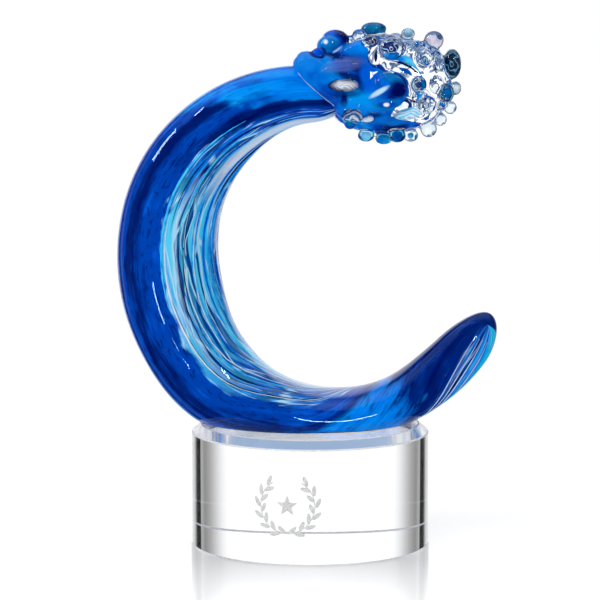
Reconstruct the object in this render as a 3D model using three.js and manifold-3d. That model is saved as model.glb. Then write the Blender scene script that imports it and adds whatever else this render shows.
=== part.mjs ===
// A glass wave award: a curled wave of cased blue glass with a beaded crest, bonded to a crystal disc.
// Millimetres, +Z up. The origin is the centre of the base's underside, and the front faces -Y.
import * as THREE from "three";
import { mergeVertices } from "three/addons/utils/BufferGeometryUtils.js";
import Module from "manifold-3d";

const wasm = await Module();
wasm.setup();
const { degToRad } = THREE.MathUtils;

// Base: a clear crystal disc with a polished bevel round its top edge.
const BASE_RADIUS = 51;
const BASE_HEIGHT = 52;
const BEVEL_WIDTH = 4.3;
const BEVEL_DROP = 3.5;
const BASE_SIDES = 72;

// Bond: a film of clear glue under the wave's ground foot, set back from the foot's edge.
const BOND_THICKNESS = 0.5;
const BOND_SETBACK = 0.8;

// Wave: a C of glass round a centre above the base. A station is a section across the C, at an angle
// from +X: how far its middle is from the centre, its width in the plane of the C, its depth from
// front to back, and where the middle of the streaks lies round it, from the outer side by the back.
const WAVE_CENTRE_X = -4.5;
const STATIONS = [
  { at: 66, middle: 67.0, width: 23.0, depth: 25.0, streaks: 165 },
  { at: 90, middle: 64.2, width: 25.5, depth: 28.0, streaks: 175 },
  { at: 120, middle: 59.6, width: 34.0, depth: 34.0, streaks: 190 },
  { at: 150, middle: 57.0, width: 40.0, depth: 39.0, streaks: 200 },
  { at: 180, middle: 56.4, width: 43.4, depth: 43.0, streaks: 203 },
  { at: 210, middle: 59.5, width: 44.4, depth: 47.0, streaks: 202 },
  { at: 240, middle: 67.3, width: 40.4, depth: 58.0, streaks: 192 },
  { at: 260, middle: 70.6, width: 29.6, depth: 66.0, streaks: 174 },
  { at: 280, middle: 74.4, width: 23.2, depth: 62.0, streaks: 156 },
  { at: 300, middle: 78.8, width: 21.6, depth: 48.0, streaks: 119 },
  { at: 320, middle: 81.8, width: 23.2, depth: 33.0, streaks: 62 },
  { at: 342, middle: 86.4, width: 19.6, depth: 21.0, streaks: 5 },
];
// The ends of the C, and over how many degrees each is rounded off.
const NECK_END = 70;
const NECK_ROUNDING = 14;
const TAIL_END = 340.3;
const TAIL_ROUNDING = 13.3;
// The foot: where its middle lies, and how much is ground off flat there.
const FOOT_AT = 270;
const FOOT_GROUND_OFF = 9.4;

// Layers of the wave, from the outside in. The clear casing is thicker inside the C by twice the shift.
const CASING_THICKNESS = 3;
const CASING_SHIFT = 0.9;
const COLOUR_THICKNESS = 1;
const LAYER_CLEARANCE = 0.6;

// Colour: the streaks lie side by side over STREAK_SPREAD degrees, and the blue sheet takes the rest.
const STREAK_COUNT = 9;
const STREAK_SPREAD = 152;
const STREAK_GAP = 7.4;
const SHEET_MARGIN = 4;
const COLOUR_NECK_SETBACK = 8;
const COLOUR_TAIL_SETBACK = 6.3;

// Crest: its centre lies beyond the end of the neck. A lump is an ellipsoid, placed from that centre.
const CREST_REACH = 9;
const CREST_RISE = 6.3;
const SEAT_CLEARANCE = 0.3;
const HOOD_LUMPS = [
  { x: -3, y: 0, z: -2, rx: 19.5, ry: 19.5, rz: 18, tilt: 0 },
  { x: -18, y: 0, z: 7.5, rx: 16.5, ry: 15.5, rz: 7.5, tilt: 10 },
  { x: 7, y: -13, z: -2, rx: 9, ry: 8.5, rz: 7.5, tilt: 20 },
  { x: -12, y: -9, z: 0, rx: 9, ry: 9.5, rz: 8, tilt: -30 },
  { x: -6, y: 10, z: 2, rx: 12, ry: 10, rz: 10, tilt: 15 },
  { x: -3, y: 0, z: -13, rx: 13, ry: 14, rz: 7.5, tilt: -12 },
];
const FOAM_LUMPS = [
  { x: 13, y: 0, z: 0, rx: 20, ry: 19, rz: 19.5, tilt: 0 },
  { x: 3, y: 0, z: 12, rx: 15, ry: 15, rz: 9.5, tilt: 0 },
  { x: 10, y: -8, z: 9, rx: 10, ry: 10, rz: 9, tilt: 25 },
  { x: 12, y: 8, z: 8, rx: 12, ry: 11, rz: 9, tilt: -20 },
  { x: 10, y: 0, z: -14, rx: 15, ry: 14, rz: 6.5, tilt: 10 },
  { x: 21, y: 0, z: 5, rx: 10.5, ry: 14, rz: 12, tilt: 0 },
];
const LUMP_SEGMENTS = 16;
const LUMP_RINGS = 9;

// Beads: droplets on the crest. Each lies in a direction from the crest's centre: a turn from +X as
// seen from the front, and a lean towards the front. Then its width across and its height.
const BEAD_SINK = 0.22;
const BEAD_SEGMENTS = 8;
const BEAD_RINGS = 6;
const BEADS = [
  { turn: 152, lean: 22, width: 6.5, height: 6.0 },
  { turn: 134, lean: 4, width: 13.5, height: 10.0 },
  { turn: 119, lean: 2, width: 5.2, height: 5.0 },
  { turn: 108, lean: 8, width: 6.2, height: 5.5 },
  { turn: 91, lean: 0, width: 11.0, height: 6.5 },
  { turn: 66, lean: 44, width: 12.0, height: 6.5 },
  { turn: 56, lean: 4, width: 6.2, height: 6.0 },
  { turn: 36, lean: 0, width: 9.0, height: 8.5 },
  { turn: 15, lean: 8, width: 13.5, height: 7.5 },
  { turn: 2, lean: 48, width: 7.5, height: 6.0 },
  { turn: -6, lean: 22, width: 8.5, height: 6.0 },
  { turn: -3, lean: -4, width: 6.0, height: 5.5 },
  { turn: -17, lean: 4, width: 6.0, height: 6.0 },
  { turn: -28, lean: 0, width: 6.0, height: 5.5 },
  { turn: -39, lean: 8, width: 8.5, height: 7.0 },
  { turn: -54, lean: 2, width: 7.0, height: 6.5 },
  { turn: -66, lean: 20, width: 8.0, height: 6.0 },
  { turn: -80, lean: 6, width: 8.0, height: 6.2 },
  { turn: -100, lean: 18, width: 7.5, height: 5.6 },
  { turn: -124, lean: 34, width: 6.0, height: 5.2 },
  { turn: -40, lean: 52, width: 11.0, height: 5.0 },
  { turn: -20, lean: 38, width: 8.5, height: 8.0 },
  { turn: 30, lean: 34, width: 8.5, height: 6.5 },
  { turn: 96, lean: 34, width: 7.0, height: 5.4 },
  { turn: 138, lean: -32, width: 8.0, height: 7.0 },
  { turn: 116, lean: -36, width: 9.0, height: 7.0 },
  { turn: 90, lean: -34, width: 7.5, height: 6.0 },
  { turn: 62, lean: -36, width: 9.0, height: 7.0 },
  { turn: 34, lean: -34, width: 10.0, height: 8.0 },
  { turn: 6, lean: -38, width: 9.0, height: 7.0 },
  { turn: -18, lean: -34, width: 8.0, height: 6.5 },
  { turn: -42, lean: -36, width: 8.5, height: 6.0 },
  { turn: -64, lean: -22, width: 7.5, height: 6.0 },
  { turn: -88, lean: -28, width: 8.0, height: 6.0 },
  { turn: -112, lean: -34, width: 7.0, height: 5.6 },
  { turn: 30, lean: -62, width: 9.0, height: 6.5 },
];

// Facets: how finely the round shapes are stepped.
const ALONG_STEP = 8.7;
const CASING_SIDES = 20;
const CORE_SIDES = 16;
const SHEET_STEPS = 11;
const ROUNDING_STEPS = [0.3, 0.55, 0.75, 0.88, 0.96];
const END_MARGIN = 0.2;

// Glass colours.
const CLEAR_GLASS = { color: 0xe6f0f6, roughness: 0.03, metalness: 0 };
const BLUE_GLASS = { color: 0x0646b8, roughness: 0.05, metalness: 0 };
const TURQUOISE_GLASS = { color: 0x58c8f2, roughness: 0.05, metalness: 0 };
const CRYSTAL = { color: 0xf2f6f8, roughness: 0.01, metalness: 0 };
const GLUE = { color: 0xf4f4f0, roughness: 0.2, metalness: 0 };

const footHeight = BASE_HEIGHT + BOND_THICKNESS;
const flatTopRadius = BASE_RADIUS - BEVEL_WIDTH;
const neckRoundingFrom = NECK_END + NECK_ROUNDING;
const tailRoundingFrom = TAIL_END - TAIL_ROUNDING;
const sheetInset = CASING_THICKNESS + LAYER_CLEARANCE;
const coreInset = sheetInset + COLOUR_THICKNESS + LAYER_CLEARANCE;

const award = new THREE.Group();

function addPiece(name, geometry, finish) {
  geometry.computeVertexNormals();
  const piece = new THREE.Mesh(geometry, new THREE.MeshStandardMaterial(finish));
  piece.name = name;
  award.add(piece);
}

// Solids: a closed geometry as a solid that can be cut and joined, and back.
function toSolid(geometry) {
  const bare = geometry.clone();
  bare.deleteAttribute("normal");
  bare.deleteAttribute("uv");
  const merged = mergeVertices(bare, 1e-4);
  const vertProperties = new Float32Array(merged.attributes.position.array);
  const triVerts = new Uint32Array(merged.index.array);
  return new wasm.Manifold(new wasm.Mesh({ numProp: 3, vertProperties, triVerts }));
}

function toGeometry(solid) {
  const mesh = solid.getMesh();
  const geometry = new THREE.BufferGeometry();
  geometry.setAttribute("position", new THREE.BufferAttribute(mesh.vertProperties, 3));
  geometry.setIndex(new THREE.BufferAttribute(mesh.triVerts, 1));
  return geometry;
}

// Skins: rings of points joined into a closed geometry whose faces point out.
function closedGeometry(points, faces) {
  let volume = 0;
  for (const [a, b, c] of faces) {
    volume += points[a].dot(new THREE.Vector3().crossVectors(points[b], points[c]));
  }
  const outward = volume > 0 ? faces : faces.map(([a, b, c]) => [a, c, b]);
  const geometry = new THREE.BufferGeometry().setFromPoints(points);
  geometry.setIndex(outward.flat());
  return geometry;
}

// Each square between two rings is split along the diagonal that bulges further from the middle.
function ringFaces(points, rings, size, middles) {
  const faces = [];
  for (let ring = 0; ring + 1 < rings; ring += 1) {
    const middle = middles[ring].clone().lerp(middles[ring + 1], 0.5);
    const bulge = (p, q) => points[p].clone().lerp(points[q], 0.5).distanceTo(middle);
    for (let i = 0; i < size; i += 1) {
      const a = ring * size + i;
      const b = ring * size + ((i + 1) % size);
      const [c, d] = [b + size, a + size];
      if (bulge(a, c) >= bulge(b, d)) {
        faces.push([a, b, c], [a, c, d]);
      } else {
        faces.push([a, b, d], [b, c, d]);
      }
    }
  }
  return faces;
}

// A skin that closes to a point at each end.
function pointedSkin(firstPoint, rings, lastPoint, middles) {
  const size = rings[0].length;
  const points = rings.flat();
  const faces = ringFaces(points, rings.length, size, middles);
  const lastRing = points.length - size;
  const first = points.push(firstPoint) - 1;
  const last = points.push(lastPoint) - 1;
  for (let i = 0; i < size; i += 1) {
    const next = (i + 1) % size;
    faces.push([first, next, i], [last, lastRing + i, lastRing + next]);
  }
  return closedGeometry(points, faces);
}

// A strip with a thickness: each ring is its outer points and then its inner points, backwards.
function stripSkin(rings, middles) {
  const size = rings[0].length;
  const points = rings.flat();
  const faces = ringFaces(points, rings.length, size, middles);
  const lastRing = points.length - size;
  for (let i = 0; i + 1 < size / 2; i += 1) {
    const [a, b, c, d] = [i, i + 1, size - 2 - i, size - 1 - i];
    faces.push([a, c, b], [a, d, c]);
    faces.push([lastRing + a, lastRing + b, lastRing + c], [lastRing + a, lastRing + c, lastRing + d]);
  }
  return closedGeometry(points, faces);
}

// The wave's section at an angle, by a smooth curve through the stations.
function slopeAt(index, key) {
  const before = STATIONS[Math.max(index - 1, 0)];
  const after = STATIONS[Math.min(index + 1, STATIONS.length - 1)];
  return (after[key] - before[key]) / (after.at - before.at);
}

function stationValue(angle, key) {
  const last = STATIONS.length - 1;
  if (angle <= STATIONS[0].at) {
    return STATIONS[0][key] + (angle - STATIONS[0].at) * slopeAt(0, key);
  }
  if (angle >= STATIONS[last].at) {
    return STATIONS[last][key] + (angle - STATIONS[last].at) * slopeAt(last, key);
  }
  const end = STATIONS.findIndex((station) => station.at > angle);
  const [from, to] = [STATIONS[end - 1], STATIONS[end]];
  const span = to.at - from.at;
  const t = (angle - from.at) / span;
  const fromWeight = 2 * t ** 3 - 3 * t ** 2 + 1;
  const slopeIn = (t ** 3 - 2 * t ** 2 + t) * span * slopeAt(end - 1, key);
  const slopeOut = (t ** 3 - t ** 2) * span * slopeAt(end, key);
  return fromWeight * from[key] + slopeIn + (1 - fromWeight) * to[key] + slopeOut;
}

// An inset layer ends before the casing does, by the inset measured along the C.
function endAngle(end, inset) {
  const away = Math.sign(end - FOOT_AT);
  return end - (away * THREE.MathUtils.radToDeg(inset)) / stationValue(end, "middle");
}

function rounding(angle, from, end) {
  const t = (angle - from) / (end - from);
  return t <= 0 ? 1 : Math.sqrt(Math.max(1 - t * t, 0));
}

function sectionAt(angle, inset) {
  const neck = rounding(angle, neckRoundingFrom, endAngle(NECK_END, inset));
  const tail = rounding(angle, tailRoundingFrom, endAngle(TAIL_END, inset));
  return {
    middle: stationValue(angle, "middle") + (inset > 0 ? CASING_SHIFT : 0),
    halfWidth: (stationValue(angle, "width") / 2 - inset) * neck * tail,
    halfDepth: (stationValue(angle, "depth") / 2 - inset) * neck * tail,
  };
}

// The wave's centre stands so high that the foot, once ground flat, rests on the bond.
const outerAtFoot = stationValue(FOOT_AT, "middle") + stationValue(FOOT_AT, "width") / 2;
const waveCentre = new THREE.Vector3(WAVE_CENTRE_X, 0, footHeight + outerAtFoot - FOOT_GROUND_OFF);

// A point in the wave's frame: its distance from the centre at an angle, and its place in depth.
function pointInWave(angle, distance, depth) {
  const [x, z] = [Math.cos(degToRad(angle)), Math.sin(degToRad(angle))];
  return new THREE.Vector3(waveCentre.x + distance * x, depth, waveCentre.z + distance * z);
}

// A point of a layer: round is in degrees, 0 on the outer side of the C, 90 at the back, 270 in front.
function wavePoint(angle, round, inset) {
  const section = sectionAt(angle, inset);
  const distance = section.middle + section.halfWidth * Math.cos(degToRad(round));
  return pointInWave(angle, distance, section.halfDepth * Math.sin(degToRad(round)));
}

function middlePoint(angle, inset) {
  return pointInWave(angle, sectionAt(angle, inset).middle, 0);
}

// Angles of the rings, close together where the ends are rounded.
function ringAngles(from, to) {
  const even = tailRoundingFrom - neckRoundingFrom;
  const steps = Math.round(even / ALONG_STEP);
  const middle = Array.from({ length: steps + 1 }, (_, i) => neckRoundingFrom + (i * even) / steps);
  const neck = ROUNDING_STEPS.map((t) => neckRoundingFrom - t * NECK_ROUNDING).reverse();
  const tail = ROUNDING_STEPS.map((t) => tailRoundingFrom + t * TAIL_ROUNDING);
  return [...neck, ...middle, ...tail].filter((angle) => angle > from && angle < to);
}

function waveLayer(inset, sides) {
  const [start, end] = [endAngle(NECK_END, inset), endAngle(TAIL_END, inset)];
  const angles = ringAngles(start + END_MARGIN, end - END_MARGIN);
  const rings = angles.map((angle) =>
    Array.from({ length: sides }, (_, i) => wavePoint(angle, (i * 360) / sides, inset)),
  );
  const middles = angles.map((angle) => middlePoint(angle, inset));
  const ends = [start, end].map((angle) => middlePoint(angle, inset));
  return toSolid(pointedSkin(ends[0], rings, ends[1], middles));
}

function belowHeight(height) {
  const reach = 4 * (stationValue(FOOT_AT, "middle") + BASE_RADIUS);
  const block = new THREE.BoxGeometry(reach, reach, reach);
  block.translate(0, 0, height - reach / 2);
  return toSolid(block);
}

// A strip of the colour layer between two angles round the wave, which turn with the streaks.
function colourStrip(roundFrom, roundTo, steps) {
  const angles = ringAngles(NECK_END + COLOUR_NECK_SETBACK, TAIL_END - COLOUR_TAIL_SETBACK);
  const rings = angles.map((angle) => {
    const turn = stationValue(angle, "streaks");
    const rounds = Array.from(
      { length: steps + 1 },
      (_, i) => turn + roundFrom + (i * (roundTo - roundFrom)) / steps,
    );
    const outer = rounds.map((round) => wavePoint(angle, round, sheetInset));
    const inner = rounds.map((round) => wavePoint(angle, round, sheetInset + COLOUR_THICKNESS));
    return [...outer, ...inner.reverse()];
  });
  return toSolid(stripSkin(rings, angles.map((angle) => middlePoint(angle, sheetInset))));
}

// Ellipsoid lumps.
function lumpSolid(lump, grow) {
  const ball = new THREE.SphereGeometry(1, LUMP_SEGMENTS, LUMP_RINGS);
  ball.rotateX(Math.PI / 2);
  ball.scale(lump.rx + grow, lump.ry + grow, lump.rz + grow);
  ball.rotateY(-degToRad(lump.tilt));
  ball.translate(crestCentre.x + lump.x, lump.y, crestCentre.z + lump.z);
  return toSolid(ball);
}

function joined(solids) {
  return solids.reduce((whole, solid) => whole.add(solid));
}

// How far the crest's surface is from its centre in a direction.
function crestReach(direction) {
  const reaches = [...HOOD_LUMPS, ...FOAM_LUMPS].map((lump) => {
    const radii = new THREE.Vector3(lump.rx, lump.ry, lump.rz);
    const upright = new THREE.Quaternion().setFromAxisAngle(
      new THREE.Vector3(0, 1, 0),
      degToRad(lump.tilt),
    );
    const from = new THREE.Vector3(-lump.x, -lump.y, -lump.z).applyQuaternion(upright).divide(radii);
    const step = direction.clone().applyQuaternion(upright).divide(radii);
    const [a, b, c] = [step.dot(step), step.dot(from), from.dot(from) - 1];
    const root = b * b - a * c;
    return root > 0 ? (-b + Math.sqrt(root)) / a : 0;
  });
  return Math.max(...reaches);
}

function beadSolid(bead, grow) {
  const [turn, lean] = [degToRad(bead.turn), degToRad(bead.lean)];
  const out = new THREE.Vector3(
    Math.cos(turn) * Math.cos(lean),
    -Math.sin(lean),
    Math.sin(turn) * Math.cos(lean),
  );
  const ball = new THREE.SphereGeometry(1, BEAD_SEGMENTS, BEAD_RINGS);
  ball.rotateX(Math.PI / 2);
  ball.scale(bead.width / 2 + grow, bead.width / 2 + grow, bead.height / 2 + grow);
  const upward = new THREE.Quaternion().setFromUnitVectors(new THREE.Vector3(0, 0, 1), out);
  ball.applyQuaternion(upward);
  const distance = crestReach(out) + (bead.height / 2) * (1 - 2 * BEAD_SINK);
  const centre = crestCentre.clone().addScaledVector(out, distance);
  ball.translate(centre.x, centre.y, centre.z);
  return toSolid(ball);
}

// Base: the lathe's profile runs from the axis out and back to the axis.
function makeBase() {
  const profile = [
    new THREE.Vector2(0, 0),
    new THREE.Vector2(BASE_RADIUS, 0),
    new THREE.Vector2(BASE_RADIUS, BASE_HEIGHT - BEVEL_DROP),
    new THREE.Vector2(flatTopRadius, BASE_HEIGHT),
    new THREE.Vector2(0, BASE_HEIGHT),
  ];
  const disc = new THREE.LatheGeometry(profile, BASE_SIDES);
  disc.rotateX(Math.PI / 2);
  return toGeometry(toSolid(disc));
}

function makeBond() {
  const flatTop = new THREE.CylinderGeometry(flatTopRadius, flatTopRadius, 4 * footHeight, BASE_SIDES);
  flatTop.rotateX(Math.PI / 2);
  const film = waveLayer(BOND_SETBACK, CASING_SIDES).subtract(belowHeight(BASE_HEIGHT));
  return toGeometry(film.intersect(belowHeight(footHeight)).intersect(toSolid(flatTop)));
}

function makeCasing() {
  const cavity = waveLayer(CASING_THICKNESS, CASING_SIDES);
  const whole = waveLayer(0, CASING_SIDES).subtract(cavity);
  return toGeometry(whole.subtract(belowHeight(footHeight)));
}

function makeCore() {
  return toGeometry(waveLayer(coreInset, CORE_SIDES).subtract(belowHeight(footHeight)));
}

function makeSheet() {
  const edge = STREAK_SPREAD / 2 + SHEET_MARGIN;
  return toGeometry(colourStrip(edge, 360 - edge, SHEET_STEPS).subtract(belowHeight(footHeight)));
}

function makeStreak(index) {
  const pitch = STREAK_SPREAD / STREAK_COUNT;
  const middle = (index - (STREAK_COUNT - 1) / 2) * pitch;
  const halfWidth = (pitch - STREAK_GAP) / 2;
  const [from, to] = [middle - halfWidth, middle + halfWidth];
  return toGeometry(colourStrip(from, to, 1).subtract(belowHeight(footHeight)));
}

const neckTip = middlePoint(NECK_END, 0);
const crestCentre = new THREE.Vector3(neckTip.x + CREST_REACH, 0, neckTip.z + CREST_RISE);

addPiece("crystal_base", makeBase(), CRYSTAL);
addPiece("adhesive_bond", makeBond(), GLUE);
addPiece("clear_core", makeCore(), CLEAR_GLASS);
addPiece("blue_sheet", makeSheet(), BLUE_GLASS);
for (let i = 0; i < STREAK_COUNT; i += 1) {
  addPiece(`streak_${i + 1}`, makeStreak(i), i % 2 === 0 ? TURQUOISE_GLASS : CLEAR_GLASS);
}
addPiece("clear_casing", makeCasing(), CLEAR_GLASS);

// Crest: the hood takes the neck's end in a socket, the foam is cut to the hood, the beads to both.
const neckSocket = waveLayer(-SEAT_CLEARANCE, CASING_SIDES);
const hood = joined(HOOD_LUMPS.map((lump) => lumpSolid(lump, 0))).subtract(neckSocket);
const hoodSeat = joined(HOOD_LUMPS.map((lump) => lumpSolid(lump, SEAT_CLEARANCE)));
const foam = joined(FOAM_LUMPS.map((lump) => lumpSolid(lump, 0)))
  .subtract(hoodSeat)
  .subtract(neckSocket);
addPiece("crest_hood", toGeometry(hood), BLUE_GLASS);
addPiece("crest_foam", toGeometry(foam), CLEAR_GLASS);

const foamSeat = joined(FOAM_LUMPS.map((lump) => lumpSolid(lump, SEAT_CLEARANCE)));
let taken = hoodSeat.add(foamSeat).add(neckSocket);
BEADS.forEach((bead, i) => {
  const name = `foam_bead_${String(i + 1).padStart(2, "0")}`;
  addPiece(name, toGeometry(beadSolid(bead, 0).subtract(taken)), CLEAR_GLASS);
  taken = taken.add(beadSolid(bead, SEAT_CLEARANCE));
});

export default award;
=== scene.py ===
# %% [markdown]
# # A glass wave award, dressed in Blender
# The award is a thick C of cased glass, curled like a breaking wave, on a disc of clear crystal. Its
# solids come finished from CAD. This lesson gives them the smooth skin, the colour inside the glass and the
# light of a photographer's table, and it never moves or resizes a CAD part.

# %% Load the fixed frame
import math
import random

import bpy
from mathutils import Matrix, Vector


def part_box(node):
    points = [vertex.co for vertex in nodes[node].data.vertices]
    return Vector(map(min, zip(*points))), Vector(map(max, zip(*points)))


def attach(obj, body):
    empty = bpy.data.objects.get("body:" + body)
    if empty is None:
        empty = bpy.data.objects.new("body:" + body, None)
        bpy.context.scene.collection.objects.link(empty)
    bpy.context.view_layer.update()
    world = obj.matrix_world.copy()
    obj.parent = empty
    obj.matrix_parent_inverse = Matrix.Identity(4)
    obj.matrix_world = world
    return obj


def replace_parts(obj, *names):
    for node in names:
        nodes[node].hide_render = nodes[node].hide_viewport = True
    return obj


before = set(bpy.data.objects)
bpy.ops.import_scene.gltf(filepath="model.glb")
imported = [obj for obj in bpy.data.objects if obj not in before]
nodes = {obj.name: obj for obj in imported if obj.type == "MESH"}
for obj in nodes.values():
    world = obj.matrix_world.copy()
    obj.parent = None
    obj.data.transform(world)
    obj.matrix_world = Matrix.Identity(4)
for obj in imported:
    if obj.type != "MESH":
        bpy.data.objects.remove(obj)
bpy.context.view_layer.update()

# %% [markdown]
# Glass is made layer on layer, and so is this scene: one function for each layer. First come a few helpers.
# An operator acts on all that is selected, so everything is deselected before a piece is picked.

# %% Helpers for picking, applying and measuring
MM = 0.001
chance = random.Random(7)


def deselect_all():
    if bpy.context.mode != "OBJECT":
        bpy.ops.object.mode_set(mode="OBJECT")
    bpy.ops.object.select_all(action="DESELECT")


def pick(piece):
    deselect_all()
    piece.select_set(True)
    bpy.context.view_layer.objects.active = piece
    return piece


def new_piece(name):
    """Names the primitive that was just added."""
    piece = bpy.context.object
    piece.name = name
    piece.data.name = name
    return piece


def select_vertices(piece, wanted):
    """Opens the piece in edit mode with only the vertices that the test wants selected."""
    pick(piece)
    bpy.ops.object.mode_set(mode="EDIT")
    bpy.ops.mesh.select_mode(type="VERT")
    bpy.ops.mesh.select_all(action="DESELECT")
    bpy.ops.object.mode_set(mode="OBJECT")
    for vertex in piece.data.vertices:
        vertex.select = wanted(vertex.co)
    bpy.ops.object.mode_set(mode="EDIT")


def apply_modifier(piece, kind, **settings):
    pick(piece)
    modifier = piece.modifiers.new(kind.lower(), kind)
    for key, value in settings.items():
        setattr(modifier, key, value)
    bpy.ops.object.modifier_apply(modifier=modifier.name)


def subdivide(piece, levels):
    apply_modifier(piece, "SUBSURF", levels=levels, render_levels=levels)


def copy_of(source, name):
    """A copy with its own mesh, loose triangles merged, that no longer belongs to the frame."""
    piece = bpy.data.objects.new(name, source.data.copy())
    piece.data.name = name
    piece.data.materials.clear()
    bpy.context.scene.collection.objects.link(piece)
    select_vertices(piece, lambda co: True)
    bpy.ops.mesh.remove_doubles(threshold=0.01 * MM)
    bpy.ops.object.mode_set(mode="OBJECT")
    return piece


def smooth(piece, angle=40):
    pick(piece)
    bpy.ops.object.shade_smooth_by_angle(angle=math.radians(angle))


def told(piece):
    """Prints what a piece measures, in millimetres."""
    corners = [vertex.co for vertex in piece.data.vertices]
    low = [round(min(c[i] for c in corners) / MM, 1) for i in range(3)]
    high = [round(max(c[i] for c in corners) / MM, 1) for i in range(3)]
    print(piece.name, "faces", len(piece.data.polygons), "from", low, "to", high)
    return piece


def colour(red, green, blue):
    """A colour as a screen shows it, 0 to 255, as the linear colour that a shader works with."""
    linear = [(c / 255) ** 2.2 for c in (red, green, blue)]
    return (*linear, 1)


# %% [markdown]
# The camera stands a little above the award and over a metre away, so its lens is long. These values put the
# base's two ellipses and the wave's outline where the photograph has them.

# %% Camera
CAMERA_PLACE = (-4.4 * MM, -1154 * MM, 246.6 * MM)
CAMERA_DOWN = 7.0
LENS = 162.66
SENSOR = 36.0

camera = bpy.data.objects.new("camera", bpy.data.cameras.new("camera"))
camera.data.lens = LENS
camera.data.sensor_width = SENSOR
camera.data.clip_end = 20
camera.location = CAMERA_PLACE
camera.rotation_euler = (math.radians(90 - CAMERA_DOWN), 0, 0)
bpy.context.scene.collection.objects.link(camera)
bpy.context.scene.camera = camera

# %% [markdown]
# Clear glass has no look of its own. It shows what stands round it, bent and squeezed, so the room is half
# of its material. A photographer lights glass with a white wall behind it and narrow dark cards at the
# sides, which draw the dark lines along its edges. The world does both: rays that look through glass or at
# a mirror see the wall and the cards, and soft white light falls on everything else.

# %% World: white behind, dark cards at the sides
def shader(tree, kind, **inputs):
    """Adds a node and sets its plain inputs by name, with spaces written as underscores."""
    node = tree.nodes.new(kind)
    for key, value in inputs.items():
        name = key.replace("_", " ")
        if name in node.inputs:
            node.inputs[name].default_value = value
        else:
            setattr(node, key, value)
    return node


def link(tree, source, target):
    tree.links.new(source, target)


def calculate(tree, operation, first, second=None, clamp=False):
    """A Math node on sockets or plain numbers."""
    node = tree.nodes.new("ShaderNodeMath")
    node.operation = operation
    node.use_clamp = clamp
    for slot, value in zip(node.inputs, (first, second)):
        if value is None:
            continue
        if isinstance(value, (int, float)):
            slot.default_value = value
        else:
            link(tree, value, slot)
    return node.outputs[0]


def times(tree, first, second, clamp=False):
    return calculate(tree, "MULTIPLY", first, second, clamp)


def plus(tree, first, second, clamp=False):
    return calculate(tree, "ADD", first, second, clamp)


def minus(tree, first, second):
    return calculate(tree, "SUBTRACT", first, second)


def past(tree, value, limit, steepness):
    """How far a value is past a limit: 0 up to it, and 1 from 1 / steepness beyond it."""
    return times(tree, minus(tree, value, limit), steepness, clamp=True)


def split(tree, vector):
    """The X, Y and Z of a vector."""
    parts = shader(tree, "ShaderNodeSeparateXYZ")
    link(tree, vector, parts.inputs[0])
    return parts.outputs


def own_place(tree):
    """Where a point lies in its own piece, in metres."""
    return shader(tree, "ShaderNodeTexCoord").outputs["Object"]


def ramp(tree, source, stops):
    """A Color Ramp with stops of (place, colour)."""
    node = tree.nodes.new("ShaderNodeValToRGB")
    elements = node.color_ramp.elements
    while len(elements) < len(stops):
        elements.new(0.5)
    for element, (place, shade) in zip(elements, stops):
        element.position = place
        element.color = shade if isinstance(shade, tuple) else (shade, shade, shade, 1)
    link(tree, source, node.inputs[0])
    return node.outputs[0]


HALF_TURN = 180
WALL_SHADES = [
    (0, 1.16), (34, 1.16), (38, 0.98), (43, 0.68), (48, 0.46), (54, 0.3), (57, 0.4), (59.9, 0.48),
    (60.6, 0.0), (66.5, 0.0), (69, 0.1), (73, 0.42), (84, 0.8), (108, 0.7), (113, 0.02), (120, 0.02),
    (125, 0.6), (150, 0.9), (180, 0.95),
]
MIRROR_SHADES = [
    (0, 1.0), (28, 0.9), (33, 0.4), (36, 0.0), (45, 0.0), (49, 0.4), (60, 0.05), (70, 0.0),
    (76, (0.07, 0.18, 0.45, 1)), (86, (0.07, 0.18, 0.45, 1)), (94, 0.02), (180, 0.0),
]
# Small bright boxes that only mirrors see: (degrees right of the camera's side, degrees up, half width,
# half height, brightness).
MIRROR_BOXES = [
    (-100, 34.5, 4.0, 6, 16.0),
    (-36, -8.5, 1.3, 1.8, 34.0),
    (26, 40, 3.4, 3.4, 40.0),
    (-91, 52, 2.5, 2.5, 24.0),
]
CEILING_SHADE = (0.5, 0.7, 1.0, 1)
# A ray that the glass throws back towards the camera sees the dark side of the room.
THROWN_BACK_AFTER, CAMERA_SIDE, CAMERA_SIDE_SHADE = 2.5, 152, (0.12, 0.12, 0.12, 1)
ROOM_LIGHT = 0.85
TABLE_SHADE = (0.30, 0.42, 0.63, 1)
TABLE_MIRRORED = (0.30, 0.58, 1.0, 1)
# The ceiling, the back and the table begin where the Z or the Y of a direction passes these values.
CEILING_FROM, BACK_FROM, TABLE_SEEN_BELOW, TABLE_MIRRORED_BELOW = 0.55, -0.1, -0.34, -0.24


def shade_by_angle(tree, away, shades):
    """Grey by the angle from the white wall's middle, from (degrees, grey) pairs."""
    return ramp(tree, away, [(degrees / HALF_TURN, grey) for degrees, grey in shades])


def blend(tree, share, first, second, way="MIX"):
    """The first colour with a share of the second."""
    node = shader(tree, "ShaderNodeMix", data_type="RGBA", blend_type=way)
    for slot, value in ((0, share), (6, first), (7, second)):
        if isinstance(value, (int, float, tuple)):
            node.inputs[slot].default_value = value
        else:
            link(tree, value, node.inputs[slot])
    return node.outputs[2]


def choose(tree, share, first, second):
    """A Mix Shader of two shader nodes."""
    node = shader(tree, "ShaderNodeMixShader")
    link(tree, share, node.inputs[0])
    link(tree, first.outputs[0], node.inputs[1])
    link(tree, second.outputs[0], node.inputs[2])
    return node


def along_axis(tree, vector, axis):
    """How far a vector reaches along a fixed axis."""
    node = shader(tree, "ShaderNodeVectorMath", operation="DOT_PRODUCT")
    link(tree, vector, node.inputs[0])
    node.inputs[1].default_value = axis
    return node.outputs["Value"]


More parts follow.
